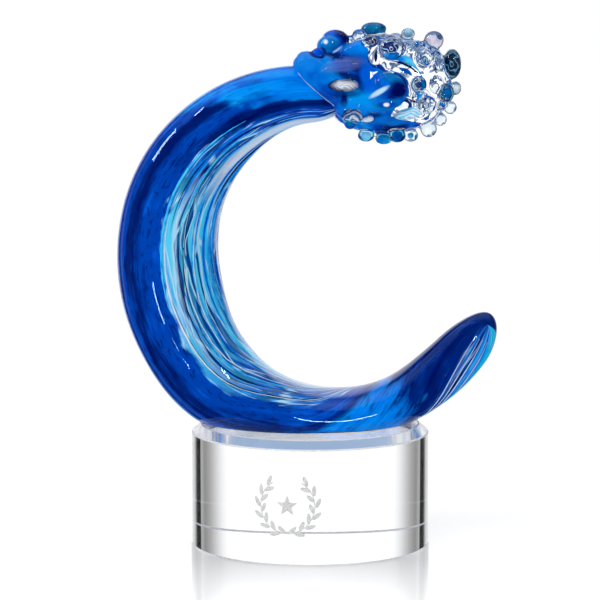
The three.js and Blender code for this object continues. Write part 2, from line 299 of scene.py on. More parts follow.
def box_light(tree, direction, right, up, half_width, half_height, brightness):
    """How bright a small softbox is in a direction: full inside its two half angles, none outside."""
    turn, rise = math.radians(right), math.radians(up)
    middle = Vector((math.sin(turn) * math.cos(rise), -math.cos(turn) * math.cos(rise), math.sin(rise)))
    sideways = Vector((math.cos(turn), math.sin(turn), 0))
    upwards = sideways.cross(middle) * -1
    share = calculate(tree, "GREATER_THAN", along_axis(tree, direction, middle), 0.0)
    for axis, half in ((sideways, half_width), (upwards, half_height)):
        off = calculate(tree, "ABSOLUTE", along_axis(tree, direction, axis))
        share = times(tree, share, calculate(tree, "LESS_THAN", off, math.sin(math.radians(half))))
    return times(tree, share, brightness)


def make_world():
    world = bpy.data.worlds.new("studio")
    world.use_nodes = True
    bpy.context.scene.world = world
    tree = world.node_tree
    tree.nodes.clear()
    direction = shader(tree, "ShaderNodeTexCoord").outputs["Generated"]
    parts = split(tree, direction)
    depth, height = parts["Y"], parts["Z"]
    away = calculate(tree, "DIVIDE", calculate(tree, "ARCCOSINE", depth), math.pi)
    path = shader(tree, "ShaderNodeLightPath")
    thrown_back = calculate(tree, "GREATER_THAN", path.outputs["Ray Depth"], THROWN_BACK_AFTER)
    to_camera_side = calculate(tree, "GREATER_THAN", away, CAMERA_SIDE / HALF_TURN)
    thrown_back = times(tree, thrown_back, to_camera_side)
    seen = blend(tree, thrown_back, shade_by_angle(tree, away, WALL_SHADES), CAMERA_SIDE_SHADE)
    below = past(tree, TABLE_SEEN_BELOW, height, 7.0)
    wall = shader(tree, "ShaderNodeBackground")
    link(tree, blend(tree, below, seen, TABLE_SHADE), wall.inputs["Color"])
    ceiling = times(tree, past(tree, height, CEILING_FROM, 4.0), past(tree, depth, BACK_FROM, 4.0))
    seen = blend(tree, ceiling, shade_by_angle(tree, away, MIRROR_SHADES), CEILING_SHADE)
    table = past(tree, TABLE_MIRRORED_BELOW, height, 12.0)
    seen = blend(tree, table, seen, TABLE_MIRRORED, "MULTIPLY")
    boxes = 0.0
    for values in MIRROR_BOXES:
        boxes = plus(tree, boxes, box_light(tree, direction, *values))
    seen = blend(tree, calculate(tree, "MINIMUM", boxes, 1.0), seen, (1, 1, 1, 1))
    mirrored = shader(tree, "ShaderNodeBackground")
    link(tree, seen, mirrored.inputs["Color"])
    link(tree, calculate(tree, "MAXIMUM", boxes, 1.0), mirrored.inputs["Strength"])
    room = shader(tree, "ShaderNodeBackground", Color=(1, 1, 1, 1), Strength=ROOM_LIGHT)
    white = shader(tree, "ShaderNodeBackground", Color=(1, 1, 1, 1), Strength=1.0)
    light = choose(tree, path.outputs["Is Glossy Ray"], room, mirrored)
    light = choose(tree, path.outputs["Is Transmission Ray"], light, wall)
    light = choose(tree, path.outputs["Is Camera Ray"], light, white)
    output = shader(tree, "ShaderNodeOutputWorld")
    link(tree, light.outputs[0], output.inputs["Surface"])


make_world()

# %% Floor and lamps
FLOOR_DROP = 0.2 * MM
FLOOR_RADIUS, FLOOR_WHITE, FLOOR_GLOW = 6, 0.92, 0.2
# A table seen at a very flat angle mirrors the dark cards, so there it is lifted towards white.
FLAT_VIEW, FLAT_VIEW_WHITE = 0.17, 0.85
# Besides its own faint gloss, the table has a painted reflection of the base in front of it, darker
# towards the picture's sides. It lies on the side from which the table is looked at, and fades from FRONT
# to END, both counted in metres from the base's axis towards the eye. HALF is the picture's half width.
MIRROR_FRONT, MIRROR_END, MIRROR_HALF = 0.035, 0.112, 0.0516
PAINTED_REFLECTION_DARKNESS = 0.46
MIRROR_ACROSS = [
    (0.0, 0.67), (0.5, 0.85), (0.76, 0.98), (0.9, 0.5), (0.935, 0.46), (0.97, 0.85), (0.99, 0.8), (1.0, 0.0),
]


def flattened(tree, source):
    """A vector without its height."""
    flat = shader(tree, "ShaderNodeVectorMath", operation="MULTIPLY")
    link(tree, source, flat.inputs[0])
    flat.inputs[1].default_value = (1, 1, 0)
    return flat.outputs[0]


def painted_base_reflection(tree):
    """How much the painted reflection of the base darkens the table, by the place on it and the way it is
    seen.
    """
    place = flattened(tree, own_place(tree))
    eye = shader(tree, "ShaderNodeVectorMath", operation="NORMALIZE")
    link(tree, flattened(tree, shader(tree, "ShaderNodeNewGeometry").outputs["Incoming"]), eye.inputs[0])
    towards = shader(tree, "ShaderNodeVectorMath", operation="DOT_PRODUCT")
    beside = shader(tree, "ShaderNodeVectorMath", operation="CROSS_PRODUCT")
    for node in (towards, beside):
        link(tree, place, node.inputs[0])
        link(tree, eye.outputs[0], node.inputs[1])
    distance = shader(tree, "ShaderNodeVectorMath", operation="LENGTH")
    link(tree, beside.outputs[0], distance.inputs[0])
    across = ramp(tree, calculate(tree, "DIVIDE", distance.outputs["Value"], MIRROR_HALF), MIRROR_ACROSS)
    forwards = shader(tree, "ShaderNodeMapRange")
    link(tree, towards.outputs["Value"], forwards.inputs["Value"])
    forwards.inputs["From Min"].default_value = MIRROR_END
    forwards.inputs["From Max"].default_value = MIRROR_FRONT
    in_front = calculate(tree, "GREATER_THAN", towards.outputs["Value"], 0.0)
    share = times(tree, times(tree, across, forwards.outputs[0]), in_front)
    return times(tree, share, PAINTED_REFLECTION_DARKNESS)


def make_floor():
    deselect_all()
    place = (0, 0, -FLOOR_DROP)
    bpy.ops.mesh.primitive_circle_add(vertices=64, radius=FLOOR_RADIUS, fill_type="NGON", location=place)
    floor = new_piece("studio_floor")
    material = bpy.data.materials.new("white_table")
    material.use_nodes = True
    tree = material.node_tree
    surface = tree.nodes["Principled BSDF"]
    # Painted reflection: the picture of the base darkens the table's colour and its glow.
    darkened = minus(tree, 1.0, painted_base_reflection(tree))
    tone = shader(tree, "ShaderNodeCombineColor")
    for slot in tone.inputs[:3]:
        link(tree, times(tree, darkened, FLOOR_WHITE), slot)
    link(tree, tone.outputs[0], surface.inputs["Base Color"])
    link(tree, times(tree, darkened, FLOOR_GLOW), surface.inputs["Emission Strength"])
    surface.inputs["Roughness"].default_value = 0.05
    surface.inputs["Specular IOR Level"].default_value = 0.25
    surface.inputs["Emission Color"].default_value = (1, 1, 1, 1)
    path = shader(tree, "ShaderNodeLightPath")
    by_glass = calculate(tree, "MAXIMUM", path.outputs["Is Transmission Ray"], path.outputs["Is Glossy Ray"])
    clear = shader(tree, "ShaderNodeBsdfTransparent")
    eye = split(tree, shader(tree, "ShaderNodeNewGeometry").outputs["Incoming"])
    low = times(tree, past(tree, FLAT_VIEW, eye["Z"], 14.0), FLAT_VIEW_WHITE)
    low = times(tree, low, path.outputs["Is Camera Ray"])
    white = shader(tree, "ShaderNodeEmission", Color=(1, 1, 1, 1), Strength=1.0)
    mixed = choose(tree, by_glass, choose(tree, low, surface, white), clear)
    link(tree, mixed.outputs[0], tree.nodes["Material Output"].inputs["Surface"])
    floor.data.materials.append(material)
    return floor


def make_lamp(name, place, target, size, power):
    """An area lamp of size (width, height) that faces the target."""
    data = bpy.data.lights.new(name, "AREA")
    data.shape = "RECTANGLE"
    data.size, data.size_y = size
    data.energy = power
    lamp = bpy.data.objects.new(name, data)
    bpy.context.scene.collection.objects.link(lamp)
    lamp.location = place
    lamp.rotation_euler = (Vector(target) - Vector(place)).to_track_quat("-Z", "Y").to_euler()
    return lamp


make_floor()
key = make_lamp("key", (-0.7, -0.9, 1.1), (0, 0, 0.12), (0.5, 0.5), 6)
key.visible_glossy = False

# %% Colour management
bpy.context.scene.view_settings.view_transform = "Standard"
cycles = bpy.context.scene.cycles
cycles.use_denoising = True
cycles.max_bounces = 24
cycles.transmission_bounces = 24
cycles.glossy_bounces = 12
cycles.transparent_max_bounces = 24

# %% [markdown]
# ## Materials
# Two effects return in several materials, so each is a node group that is built once. Colour that is pulled
# with the hot glass lies in long streaks, which a noise stretched along the flow gives. Glass that is
# polished by fire and by hand is never quite even, so its surface gets slow, shallow waves.

# %% Shared effects as node groups
def new_group(name, inputs, results=("Value",)):
    """A shader node group with a Vector input, number inputs and number outputs."""
    tree = bpy.data.node_groups.new(name, "ShaderNodeTree")
    tree.interface.new_socket("Vector", in_out="INPUT", socket_type="NodeSocketVector")
    for label, value in inputs.items():
        socket = tree.interface.new_socket(label, in_out="INPUT", socket_type="NodeSocketFloat")
        socket.default_value = value
    for label in results:
        tree.interface.new_socket(label, in_out="OUTPUT", socket_type="NodeSocketFloat")
    return tree, tree.nodes.new("NodeGroupInput"), tree.nodes.new("NodeGroupOutput")


def make_pulled_streaks():
    """Streaks along the flow. X of the vector runs across them, and Y along them."""
    tree, given, result = new_group("pulled_streaks", {"Across": 30, "Along": 3, "Lean": 0, "Detail": 3})
    parts = split(tree, given.outputs["Vector"])
    leaned = times(tree, parts["Y"], given.outputs["Lean"])
    across = plus(tree, parts["X"], leaned)
    both = shader(tree, "ShaderNodeCombineXYZ")
    link(tree, times(tree, across, given.outputs["Across"]), both.inputs[0])
    link(tree, times(tree, parts["Y"], given.outputs["Along"]), both.inputs[1])
    link(tree, parts["Z"], both.inputs[2])
    noise = shader(tree, "ShaderNodeTexNoise", Scale=1.0, Distortion=0.25)
    link(tree, both.outputs[0], noise.inputs["Vector"])
    link(tree, given.outputs["Detail"], noise.inputs["Detail"])
    link(tree, noise.outputs[0], result.inputs[0])
    return tree


def make_drawn_cells():
    """Spindle-shaped cells drawn out along the flow: a number for each, and the distance to its edge."""
    inputs = {"Across": 26, "Along": 4.5, "Wobble": 0.9}
    tree, given, result = new_group("drawn_cells", inputs, ("Value", "Edge"))
    parts = split(tree, given.outputs["Vector"])
    wander = shader(tree, "ShaderNodeTexNoise", Scale=4.0, Detail=1.0)
    link(tree, given.outputs["Vector"], wander.inputs["Vector"])
    swing = times(tree, minus(tree, wander.outputs[0], 0.5), given.outputs["Wobble"])
    across = times(tree, parts["X"], given.outputs["Across"])
    both = shader(tree, "ShaderNodeCombineXYZ")
    link(tree, plus(tree, across, times(tree, swing, 4.0)), both.inputs[0])
    link(tree, times(tree, parts["Y"], given.outputs["Along"]), both.inputs[1])
    for feature, socket, target in (("F1", "Color", 0), ("DISTANCE_TO_EDGE", "Distance", 1)):
        cells = shader(tree, "ShaderNodeTexVoronoi", voronoi_dimensions="2D", feature=feature, Scale=1.0)
        link(tree, both.outputs[0], cells.inputs["Vector"])
        if socket == "Color":
            colours = shader(tree, "ShaderNodeSeparateColor")
            link(tree, cells.outputs[socket], colours.inputs[0])
            link(tree, colours.outputs[0], result.inputs[target])
        else:
            link(tree, cells.outputs[socket], result.inputs[target])
    return tree


def make_hand_polish():
    """Slow waves of a hand-made surface, as a height."""
    tree, given, result = new_group("hand_polish", {"Size": 60, "Detail": 1})
    noise = shader(tree, "ShaderNodeTexNoise")
    link(tree, given.outputs["Vector"], noise.inputs["Vector"])
    link(tree, given.outputs["Size"], noise.inputs["Scale"])
    link(tree, given.outputs["Detail"], noise.inputs["Detail"])
    link(tree, noise.outputs[0], result.inputs[0])
    return tree


PULLED_STREAKS = make_pulled_streaks()
DRAWN_CELLS = make_drawn_cells()
HAND_POLISH = make_hand_polish()


def group_node(tree, group, vector, **inputs):
    node = shader(tree, "ShaderNodeGroup", node_tree=group)
    link(tree, vector, node.inputs["Vector"])
    for label, value in inputs.items():
        node.inputs[label].default_value = value
    return node


def grouped(tree, group, vector, **inputs):
    return group_node(tree, group, vector, **inputs).outputs[0]


# %% [markdown]
# Clear glass is a Principled shader with full transmission. Lamps can't shine through it in a path tracer
# without a great deal of noise, so for shadow rays and soft light it steps aside as a faint tint. The
# colour inside the glass is then lit as if it lay in the open.

# %% Clear glass
def new_material(name):
    material = bpy.data.materials.new(name)
    material.use_nodes = True
    material.node_tree.nodes.clear()
    return material, material.node_tree


def finish_material(tree, surface):
    output = shader(tree, "ShaderNodeOutputMaterial")
    link(tree, surface.outputs[0], output.inputs["Surface"])


def inside_colour(tree, shade, roughness):
    """Ends a material as colour that lies inside glass, so its own surface doesn't shine."""
    surface = shader(tree, "ShaderNodeBsdfPrincipled", Roughness=roughness)
    surface.inputs["Specular IOR Level"].default_value = 0.0
    link(tree, shade, surface.inputs["Base Color"])
    finish_material(tree, surface)


def lit_through(tree, surface, passed):
    path = shader(tree, "ShaderNodeLightPath")
    passing = calculate(tree, "MAXIMUM", path.outputs["Is Shadow Ray"], path.outputs["Is Diffuse Ray"])
    open_way = shader(tree, "ShaderNodeBsdfTransparent", Color=passed)
    return choose(tree, passing, surface, open_way)


def polished_glass(tree, tint, index, waves, size):
    """A clear surface with slow waves, as deep and as wide as given, and the place on it."""
    surface = shader(tree, "ShaderNodeBsdfPrincipled", Base_Color=tint, Roughness=0.0, IOR=index)
    surface.inputs["Transmission Weight"].default_value = 1.0
    place = own_place(tree)
    bump = shader(tree, "ShaderNodeBump", Strength=waves, Distance=MM)
    link(tree, grouped(tree, HAND_POLISH, place, Size=size), bump.inputs["Height"])
    link(tree, bump.outputs[0], surface.inputs["Normal"])
    return surface, place


def clear_material(name, tint, index, waves, size, passed, mirror=(1, 1, 1, 1)):
    """Glass with its tint, index and waves, the tint of a lamp's light behind it, and its mirrored tint."""
    material, tree = new_material(name)
    surface, _ = polished_glass(tree, tint, index, waves, size)
    surface.inputs["Specular Tint"].default_value = mirror
    finish_material(tree, lit_through(tree, surface, passed))
    return material


TRAPPED_AFTER = 4.5
PAINTED_GLOW_SHADES = [(0.36, (0.16, 0.3, 0.62, 1)), (0.48, (0.5, 0.55, 0.66, 1)), (0.6, (0.82, 0.84, 0.87, 1))]


def crystal_material():
    """The base's crystal. Rays that its walls throw to and fro for long end in a painted glow, not black."""
    material, tree = new_material("polished_crystal")
    surface, place = polished_glass(tree, (1, 1, 1, 1), 1.52, 0.02, 30)
    facets = grouped(tree, HAND_POLISH, place, Size=45, Detail=1)
    # Painted glow: past TRAPPED_AFTER bounces the crystal gives out pale and blue light of its own.
    painted_glow = shader(tree, "ShaderNodeEmission")
    link(tree, ramp(tree, facets, PAINTED_GLOW_SHADES), painted_glow.inputs["Color"])
    path = shader(tree, "ShaderNodeLightPath")
    trapped = calculate(tree, "GREATER_THAN", path.outputs["Ray Depth"], TRAPPED_AFTER)
    finish_material(tree, lit_through(tree, choose(tree, trapped, surface, painted_glow), (0.9, 0.9, 0.91, 1)))
    return material


def ground_glass(name, shade, roughness):
    """Glass whose surface is ground matt, so it scatters light and looks pale."""
    material, tree = new_material(name)
    surface = shader(tree, "ShaderNodeBsdfPrincipled", IOR=1.5)
    surface.inputs["Transmission Weight"].default_value = 0.35
    place = own_place(tree)
    grain = grouped(tree, HAND_POLISH, place, Size=900, Detail=2)
    darker = tuple(0.85 * c for c in shade[:3]) + (1,)
    link(tree, ramp(tree, grain, [(0.4, darker), (0.6, shade)]), surface.inputs["Base Color"])
    matt = ramp(tree, grain, [(0.3, roughness - 0.1), (0.7, roughness + 0.1)])
    link(tree, matt, surface.inputs["Roughness"])
    finish_material(tree, surface)
    return material


CASING_GLASS = clear_material(
    "clear_cased_glass", (0.97, 0.985, 1, 1), 1.5, 0.35, 55, (0.93, 0.95, 0.97, 1), (0.28, 0.52, 0.85, 1),
)
FOAM_GLASS = clear_material(
    "clear_foam_glass", (0.97, 0.99, 1, 1), 1.42, 0.4, 140, (0.93, 0.96, 0.98, 1), (0.85, 0.92, 1, 1),
)
CRYSTAL = crystal_material()
GROUND_ARRIS = ground_glass("ground_arris", (0.86, 0.88, 0.9, 1), 0.55)
GLUE = clear_material("clear_glue", (0.96, 0.96, 0.94, 1), 1.47, 0.3, 120, (0.92, 0.92, 0.9, 1))

# %% [markdown]
# The colour lies in a veil under the clear casing. A UV map follows the flow of the glass: U runs round
# the bar, from the middle of the bright streaks, and V runs along it. The veil is cobalt and darkens to
# navy on the side that faces away from the streaks. At the neck and by the foot it is painted bright
# azure, which stands for light shining through the glass, and along the neck a dark band is painted
# shade.

# %% Colours of the veil
NAVY = colour(0, 20, 92)
INK = colour(0, 30, 78)
COBALT = colour(4, 67, 172)
ROYAL = colour(2, 92, 212)
AZURE = colour(0, 134, 240)
SKY = colour(24, 160, 244)
CYAN = colour(87, 213, 253)
PALE = colour(192, 228, 250)
WHITE = colour(238, 242, 252)
FULL_TURN = 360
STREAKS_HALF = 76 / FULL_TURN
STREAKS_SEEN, STREAKS_SHIFT = 0.19, 0.022


def band(tree, value, *stops):
    """A grey or a colour by a value, from (place, shade) pairs that may lie below zero or over one."""
    low, high = stops[0][0], stops[-1][0]
    node = shader(tree, "ShaderNodeMapRange")
    link(tree, value, node.inputs["Value"])
    node.inputs["From Min"].default_value = low
    node.inputs["From Max"].default_value = high
    return ramp(tree, node.outputs[0], [((place - low) / (high - low), shade) for place, shade in stops])


def roughened(tree, value, noise, amount):
    """A value whose level lines are made ragged by a noise."""
    swing = times(tree, minus(tree, noise, 0.5), amount)
    return plus(tree, value, swing)


# The canes of colour lie side by side in the streaks. Each is (place round the glass in turns, colour).
DEEP = colour(0, 74, 150)
LAVENDER = colour(172, 220, 250)
TURQUOISE_CANE = colour(0, 184, 228)
MIDNIGHT = colour(0, 36, 110)
BRIGHT_SKY = colour(70, 212, 255)
THIN_LINE = colour(186, 232, 250)
CANES = [
    (-0.22, COBALT), (-0.18, AZURE), (-0.15, SKY), (-0.12, DEEP), (-0.1, AZURE), (-0.07, SKY),
    (-0.045, BRIGHT_SKY), (-0.012, BRIGHT_SKY), (-0.004, PALE), (0.006, CYAN), (0.012, DEEP), (0.02, DEEP),
    (0.026, CYAN), (0.042, CYAN), (0.046, DEEP), (0.056, DEEP), (0.062, CYAN), (0.086, CYAN),
    (0.09, DEEP), (0.094, DEEP), (0.102, LAVENDER), (0.116, LAVENDER), (0.124, CYAN), (0.17, CYAN),
    (0.22, SKY),
]
TAIL_CANES = [
    (-0.23, NAVY), (-0.17, COBALT), (-0.13, NAVY), (-0.1, ROYAL), (-0.08, SKY), (-0.06, COBALT),
    (-0.04, AZURE), (-0.02, TURQUOISE_CANE), (0.1, TURQUOISE_CANE), (0.2, COBALT),
]


def streak_colours(tree, flow, across, along, fine):
    """The pulled canes, crossed by drawn-out cells, calmer and darker at the neck and in the tail."""
    slow = grouped(tree, PULLED_STREAKS, flow, Across=8, Along=2.6, Detail=2)
    canes = band(tree, roughened(tree, across, slow, 0.09), *CANES)
    net = group_node(tree, DRAWN_CELLS, flow, Across=34, Along=2.6, Wobble=0.5)
    cells, edge = net.outputs["Value"], net.outputs["Edge"]
    mottled = plus(tree, times(tree, cells, 0.8), times(tree, fine, 0.2))
    slits = times(tree, band(tree, mottled, (0.24, 1), (0.31, 0)), band(tree, edge, (0.05, 0), (0.13, 1)))
    canes = blend(tree, times(tree, slits, 0.78), canes, DEEP)
    canes = blend(tree, band(tree, mottled, (0.66, 0), (0.74, 0.7)), canes, SKY)
    canes = blend(tree, band(tree, mottled, (0.84, 0), (0.9, 0.8)), canes, LAVENDER)
    ends = band(tree, along, (-1.15, 1), (-0.75, 0.8), (-0.3, 0), (0.15, 0), (0.4, 0.9), (1.1, 1))
    outer_side = band(tree, roughened(tree, across, slow, 0.1), (0.015, 0), (0.055, 1))
    open_blue = ramp(tree, fine, [(0.38, NAVY), (0.47, COBALT), (0.56, ROYAL), (0.66, SKY)])
    canes = blend(tree, times(tree, ends, outer_side), canes, open_blue)
    pale = band(tree, along, (-1.1, 0.5), (-0.6, 0), (0.25, 0), (0.5, 0.8), (1.1, 0.8))
    uneven = roughened(tree, across, slow, 0.06)
    inner_side = band(tree, uneven, (-0.07, 0), (-0.05, 1), (0.02, 1), (0.045, 0))
    canes = blend(tree, times(tree, pale, inner_side), canes, WHITE)
    tail_paint = band(tree, roughened(tree, across, slow, 0.05), *TAIL_CANES)
    tail_paint = blend(tree, band(tree, fine, (0.55, 0), (0.62, 0.7)), tail_paint, SKY)
    canes = blend(tree, band(tree, along, (-1.3, 1), (-1.12, 0)), canes, tail_paint)
    seams = band(tree, edge, (0.025, 0.95), (0.07, 0))
    lines = times(tree, seams, band(tree, fine, (0.4, 0), (0.52, 1)))
    lines = times(tree, lines, band(tree, along, (-1.3, 0.35), (-1.1, 1)))
    return blend(tree, lines, canes, THIN_LINE)


def veil_material():
    """The veil's colours, by how far round the bar and how far along it a point lies."""
    material, tree = new_material("blue_veil_glass")
    flow = shader(tree, "ShaderNodeUVMap", uv_map="flow").outputs[0]
    parts = split(tree, flow)
    across, along = parts["X"], parts["Y"]
    around = calculate(tree, "ABSOLUTE", across)
    broad = grouped(tree, PULLED_STREAKS, flow, Across=20, Along=3.4, Lean=0.03, Detail=4)
    fine = grouped(tree, PULLED_STREAKS, flow, Across=80, Along=8.0, Lean=-0.02, Detail=3)
    ragged = grouped(tree, PULLED_STREAKS, flow, Across=15, Along=8.0, Detail=5)
    specks = grouped(tree, PULLED_STREAKS, flow, Across=70, Along=24.0, Detail=3)
    clouds = grouped(tree, HAND_POLISH, flow, Size=9, Detail=5)
    both = plus(tree, times(tree, broad, 0.45), times(tree, fine, 0.25))
    both = plus(tree, both, times(tree, clouds, 0.3))
    deep = ramp(tree, both, [(0.40, NAVY), (0.54, MIDNIGHT), (0.62, COBALT)])
    ground = ramp(tree, both, [(0.37, NAVY), (0.46, COBALT), (0.53, COBALT), (0.63, ROYAL)])
    uneven = roughened(tree, around, ragged, 0.07)
    dark_side = band(tree, uneven, (0.25, 0), (0.285, 1), (0.325, 1), (0.34, 0), (0.5, 0))
    ground = blend(tree, dark_side, ground, deep)
    tail = band(tree, roughened(tree, along, ragged, 0.4), (-1.9, 1), (-1.3, 1), (-1.22, 0))
    ground = blend(tree, times(tree, tail, 0.85), ground, deep)
    leaning = times(tree, minus(tree, around, 0.3), 1.6)
    opening = roughened(tree, plus(tree, along, leaning), ragged, 0.5)
    outside = band(tree, roughened(tree, around, ragged, 0.08), (0.2, 0), (0.217, 1), (0.5, 1))
    neck = times(tree, band(tree, opening, (0.62, 0), (0.76, 1), (1.6, 1)), outside)
    # Painted shadow: a dark band along the neck, beside the streaks.
    at_neck = band(tree, roughened(tree, along, ragged, 0.4), (0.3, 0), (0.5, 1), (1.2, 1))
    beside = band(tree, roughened(tree, around, ragged, 0.06), (0.14, 0), (0.155, 1), (0.205, 1), (0.23, 0))
    neck_painted_shadow = times(tree, at_neck, beside)
    ground = blend(tree, times(tree, neck_painted_shadow, 0.9), ground, deep)
    foot = band(tree, roughened(tree, along, ragged, 0.35), (-1.33, 0), (-1.26, 1), (-1.0, 1), (-0.88, 0))
    outside = band(tree, roughened(tree, around, ragged, 0.1), (0.28, 0), (0.32, 1), (0.5, 1))
    foot = times(tree, foot, outside)
    # Painted light: the bright azure at the neck and by the foot stands for light shining through the glass.
    painted_backlight = ramp(tree, both, [(0.38, NAVY), (0.42, COBALT), (0.46, ROYAL), (0.52, AZURE), (0.62, SKY)])
    calm = band(tree, along, (-1.3, 0.6), (-0.9, 0.6), (-0.7, 0), (0.6, 0), (0.95, 0.7))
    painted_backlight = blend(tree, calm, painted_backlight, AZURE)
    ground = blend(tree, plus(tree, neck, foot, clamp=True), ground, painted_backlight)
    fewer = band(tree, along, (0.5, 1), (0.9, 0.2))
    freckled = times(tree, band(tree, specks, (0.35, 0.6), (0.43, 0)), fewer)
    ground = blend(tree, freckled, ground, INK)
    streaks = streak_colours(tree, flow, across, along, fine)
    narrowing = times(tree, band(tree, along, (0.5, 0), (0.9, 1)), 0.05)
    from_streaks = calculate(tree, "ABSOLUTE", plus(tree, across, STREAKS_SHIFT))
    edge = plus(tree, roughened(tree, from_streaks, ragged, 0.1), narrowing)
    zone = band(tree, edge, (STREAKS_SEEN - 0.012, 1), (STREAKS_SEEN + 0.006, 0))
    inside_colour(tree, blend(tree, zone, ground, streaks), 0.5)
    return material


VEIL = veil_material()


def thread_material(name, dark, light):
    material, tree = new_material(name)
    place = own_place(tree)
    mottle = grouped(tree, HAND_POLISH, place, Size=220, Detail=3)
    inside_colour(tree, ramp(tree, mottle, [(0.35, dark), (0.65, light)]), 0.4)
    return material


THREADS = [
    thread_material("white_cane", PALE, WHITE),
    thread_material("turquoise_cane", SKY, CYAN),
    thread_material("azure_cane", ROYAL, AZURE),
    thread_material("navy_cane", NAVY, INK),
]

# %% [markdown]
# ## The wave
# The wave is drawn straight first, as a glassmaker's bar is before it is curled: rings are extruded up the
# bar and scaled on the way. The bar is then bent round the wave's centre, which turns its height into an
# angle. The stations say how thick the bar is at each angle, as they do in the CAD model.

# %% Stations of the wave
WAVE_CENTRE_X = -4.5
FOOT_AT = 270
FOOT_GROUND_OFF = 9.4
NECK_END, NECK_ROUNDING = 70, 14
TAIL_END, TAIL_ROUNDING = 340.3, 13.3
BEND_RADIUS = 60.0
# Each line: the angle from +X, then the middle's distance from the centre, the width, the depth, and where
# the middle of the streaks lies round the bar.
STATIONS = [
    (66, 67.0, 23.0, 25.0, 165),
    (90, 64.2, 25.5, 28.0, 175),
    (120, 59.6, 34.0, 34.0, 190),
    (150, 57.0, 40.0, 39.0, 200),
    (180, 56.4, 43.4, 43.0, 203),
    (210, 59.5, 44.4, 47.0, 202),
    (240, 67.3, 40.4, 58.0, 192),
    (260, 70.6, 29.6, 66.0, 174),
    (280, 74.4, 23.2, 62.0, 150),
    (300, 78.8, 21.6, 48.0, 62),
    (320, 81.8, 23.2, 33.0, -20),
    (342, 86.4, 19.6, 21.0, -52),
]
MIDDLE, WIDTH, DEPTH, STREAKS = 1, 2, 3, 4


def slope_at(index, column):
    before = STATIONS[max(index - 1, 0)]
    after = STATIONS[min(index + 1, len(STATIONS) - 1)]
    return (after[column] - before[column]) / (after[0] - before[0])


def station_value(angle, column):
    """A smooth curve through the stations, and straight on beyond the last ones."""
    last = len(STATIONS) - 1
    for beyond, index in ((angle <= STATIONS[0][0], 0), (angle >= STATIONS[last][0], last)):
        if beyond:
            return STATIONS[index][column] + (angle - STATIONS[index][0]) * slope_at(index, column)
    after = next(i for i, station in enumerate(STATIONS) if station[0] > angle)
    start, stop = STATIONS[after - 1], STATIONS[after]
    span = stop[0] - start[0]
    t = (angle - start[0]) / span
    weight = 2 * t**3 - 3 * t**2 + 1
    leaving = (t**3 - 2 * t**2 + t) * span * slope_at(after - 1, column)
    arriving = (t**3 - t**2) * span * slope_at(after, column)
    return weight * start[column] + leaving + (1 - weight) * stop[column] + arriving


# %% Layers of the wave
# A layer lies under shares of the outer, inner and front glass, is inset by a few millimetres, and ends
# before the tips.
SKIN = {"outer": 0.0, "inner": 0.0, "front": 0.0, "inset": 0.0, "neck": 0.0, "tail": 0.0}
FILM = {"outer": 0.0, "inner": 0.0, "front": 0.0, "inset": 0.8, "neck": 0.8, "tail": 0.8}
COLOUR = {"outer": 0.05, "inner": 0.42, "front": 0.07, "inset": 0.0, "neck": 3.0, "tail": 6.5}


def end_angle(end, layer):
    setback = layer["neck"] if end == NECK_END else layer["tail"]
    away = math.copysign(1, end - FOOT_AT)
    return end - away * math.degrees(setback / station_value(end, MIDDLE))


def rounded(angle, start, end):
    t = (angle - start) / (end - start)
    return 1 if t <= 0 else math.sqrt(max(1 - t * t, 0))


def section(angle, layer):
    """The middle's distance from the wave's centre, the half width and the half depth."""
    neck = rounded(angle, NECK_END + NECK_ROUNDING, end_angle(NECK_END, layer))
    tail = rounded(angle, TAIL_END - TAIL_ROUNDING, end_angle(TAIL_END, layer))
    half = station_value(angle, WIDTH) / 2
    outer, inner = half * (1 - layer["outer"]), half * (1 - layer["inner"])
    half_depth = station_value(angle, DEPTH) / 2 * (1 - layer["front"]) - layer["inset"]
    half_width = (outer + inner) / 2 - layer["inset"]
    middle = station_value(angle, MIDDLE) + (outer - inner) / 2
    return middle, half_width * neck * tail, half_depth * neck * tail


foot_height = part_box("clear_casing")[0].z / MM
outer_at_foot = station_value(FOOT_AT, MIDDLE) + station_value(FOOT_AT, WIDTH) / 2
WAVE_CENTRE = Vector((WAVE_CENTRE_X, 0, foot_height + outer_at_foot - FOOT_GROUND_OFF))
print("wave centre", [round(c, 2) for c in WAVE_CENTRE], "foot at", round(foot_height, 2))

# %% Drawing a straight bar and curling it
RING_STEP = 4.5
ROUNDING_STEPS = (0.2, 0.4, 0.58, 0.73, 0.85, 0.93, 0.975, 0.995)


def height_on_bar(angle):
    return BEND_RADIUS * math.radians(HALF_TURN - angle)


def point_on_bar(angle, turn, layer, lift=0.0):
    """A point of a layer: turn is 0 on the wave's outer side, 90 at the back and 270 in front."""
    middle, half_width, half_depth = section(angle, layer)
    out = (half_width + lift) * math.cos(math.radians(turn))
    deep = (half_depth + lift) * math.sin(math.radians(turn))
    return Vector((BEND_RADIUS - middle - out, deep, height_on_bar(angle))) * MM


def ring_angles(layer):
    """From the tail to the neck, close together where the ends are rounded."""
    tail, neck = end_angle(TAIL_END, layer), end_angle(NECK_END, layer)
    tail_start, neck_start = TAIL_END - TAIL_ROUNDING, NECK_END + NECK_ROUNDING
    count = round((tail_start - neck_start) / RING_STEP)
    even = [tail_start + (neck_start - tail_start) * i / count for i in range(count + 1)]
    rounded_tail = [tail_start + (tail - tail_start) * t for t in reversed(ROUNDING_STEPS)]
    rounded_neck = [neck_start + (neck - neck_start) * t for t in ROUNDING_STEPS]
    return rounded_tail + even + rounded_neck


def ring_on_bar(angle, layer):
    """A ring's middle and its two half sizes on the straight bar, in metres."""
    middle, half_width, half_depth = section(angle, layer)
    centre = Vector((BEND_RADIUS - middle, 0, height_on_bar(angle))) * MM
    return centre, half_width * MM, half_depth * MM


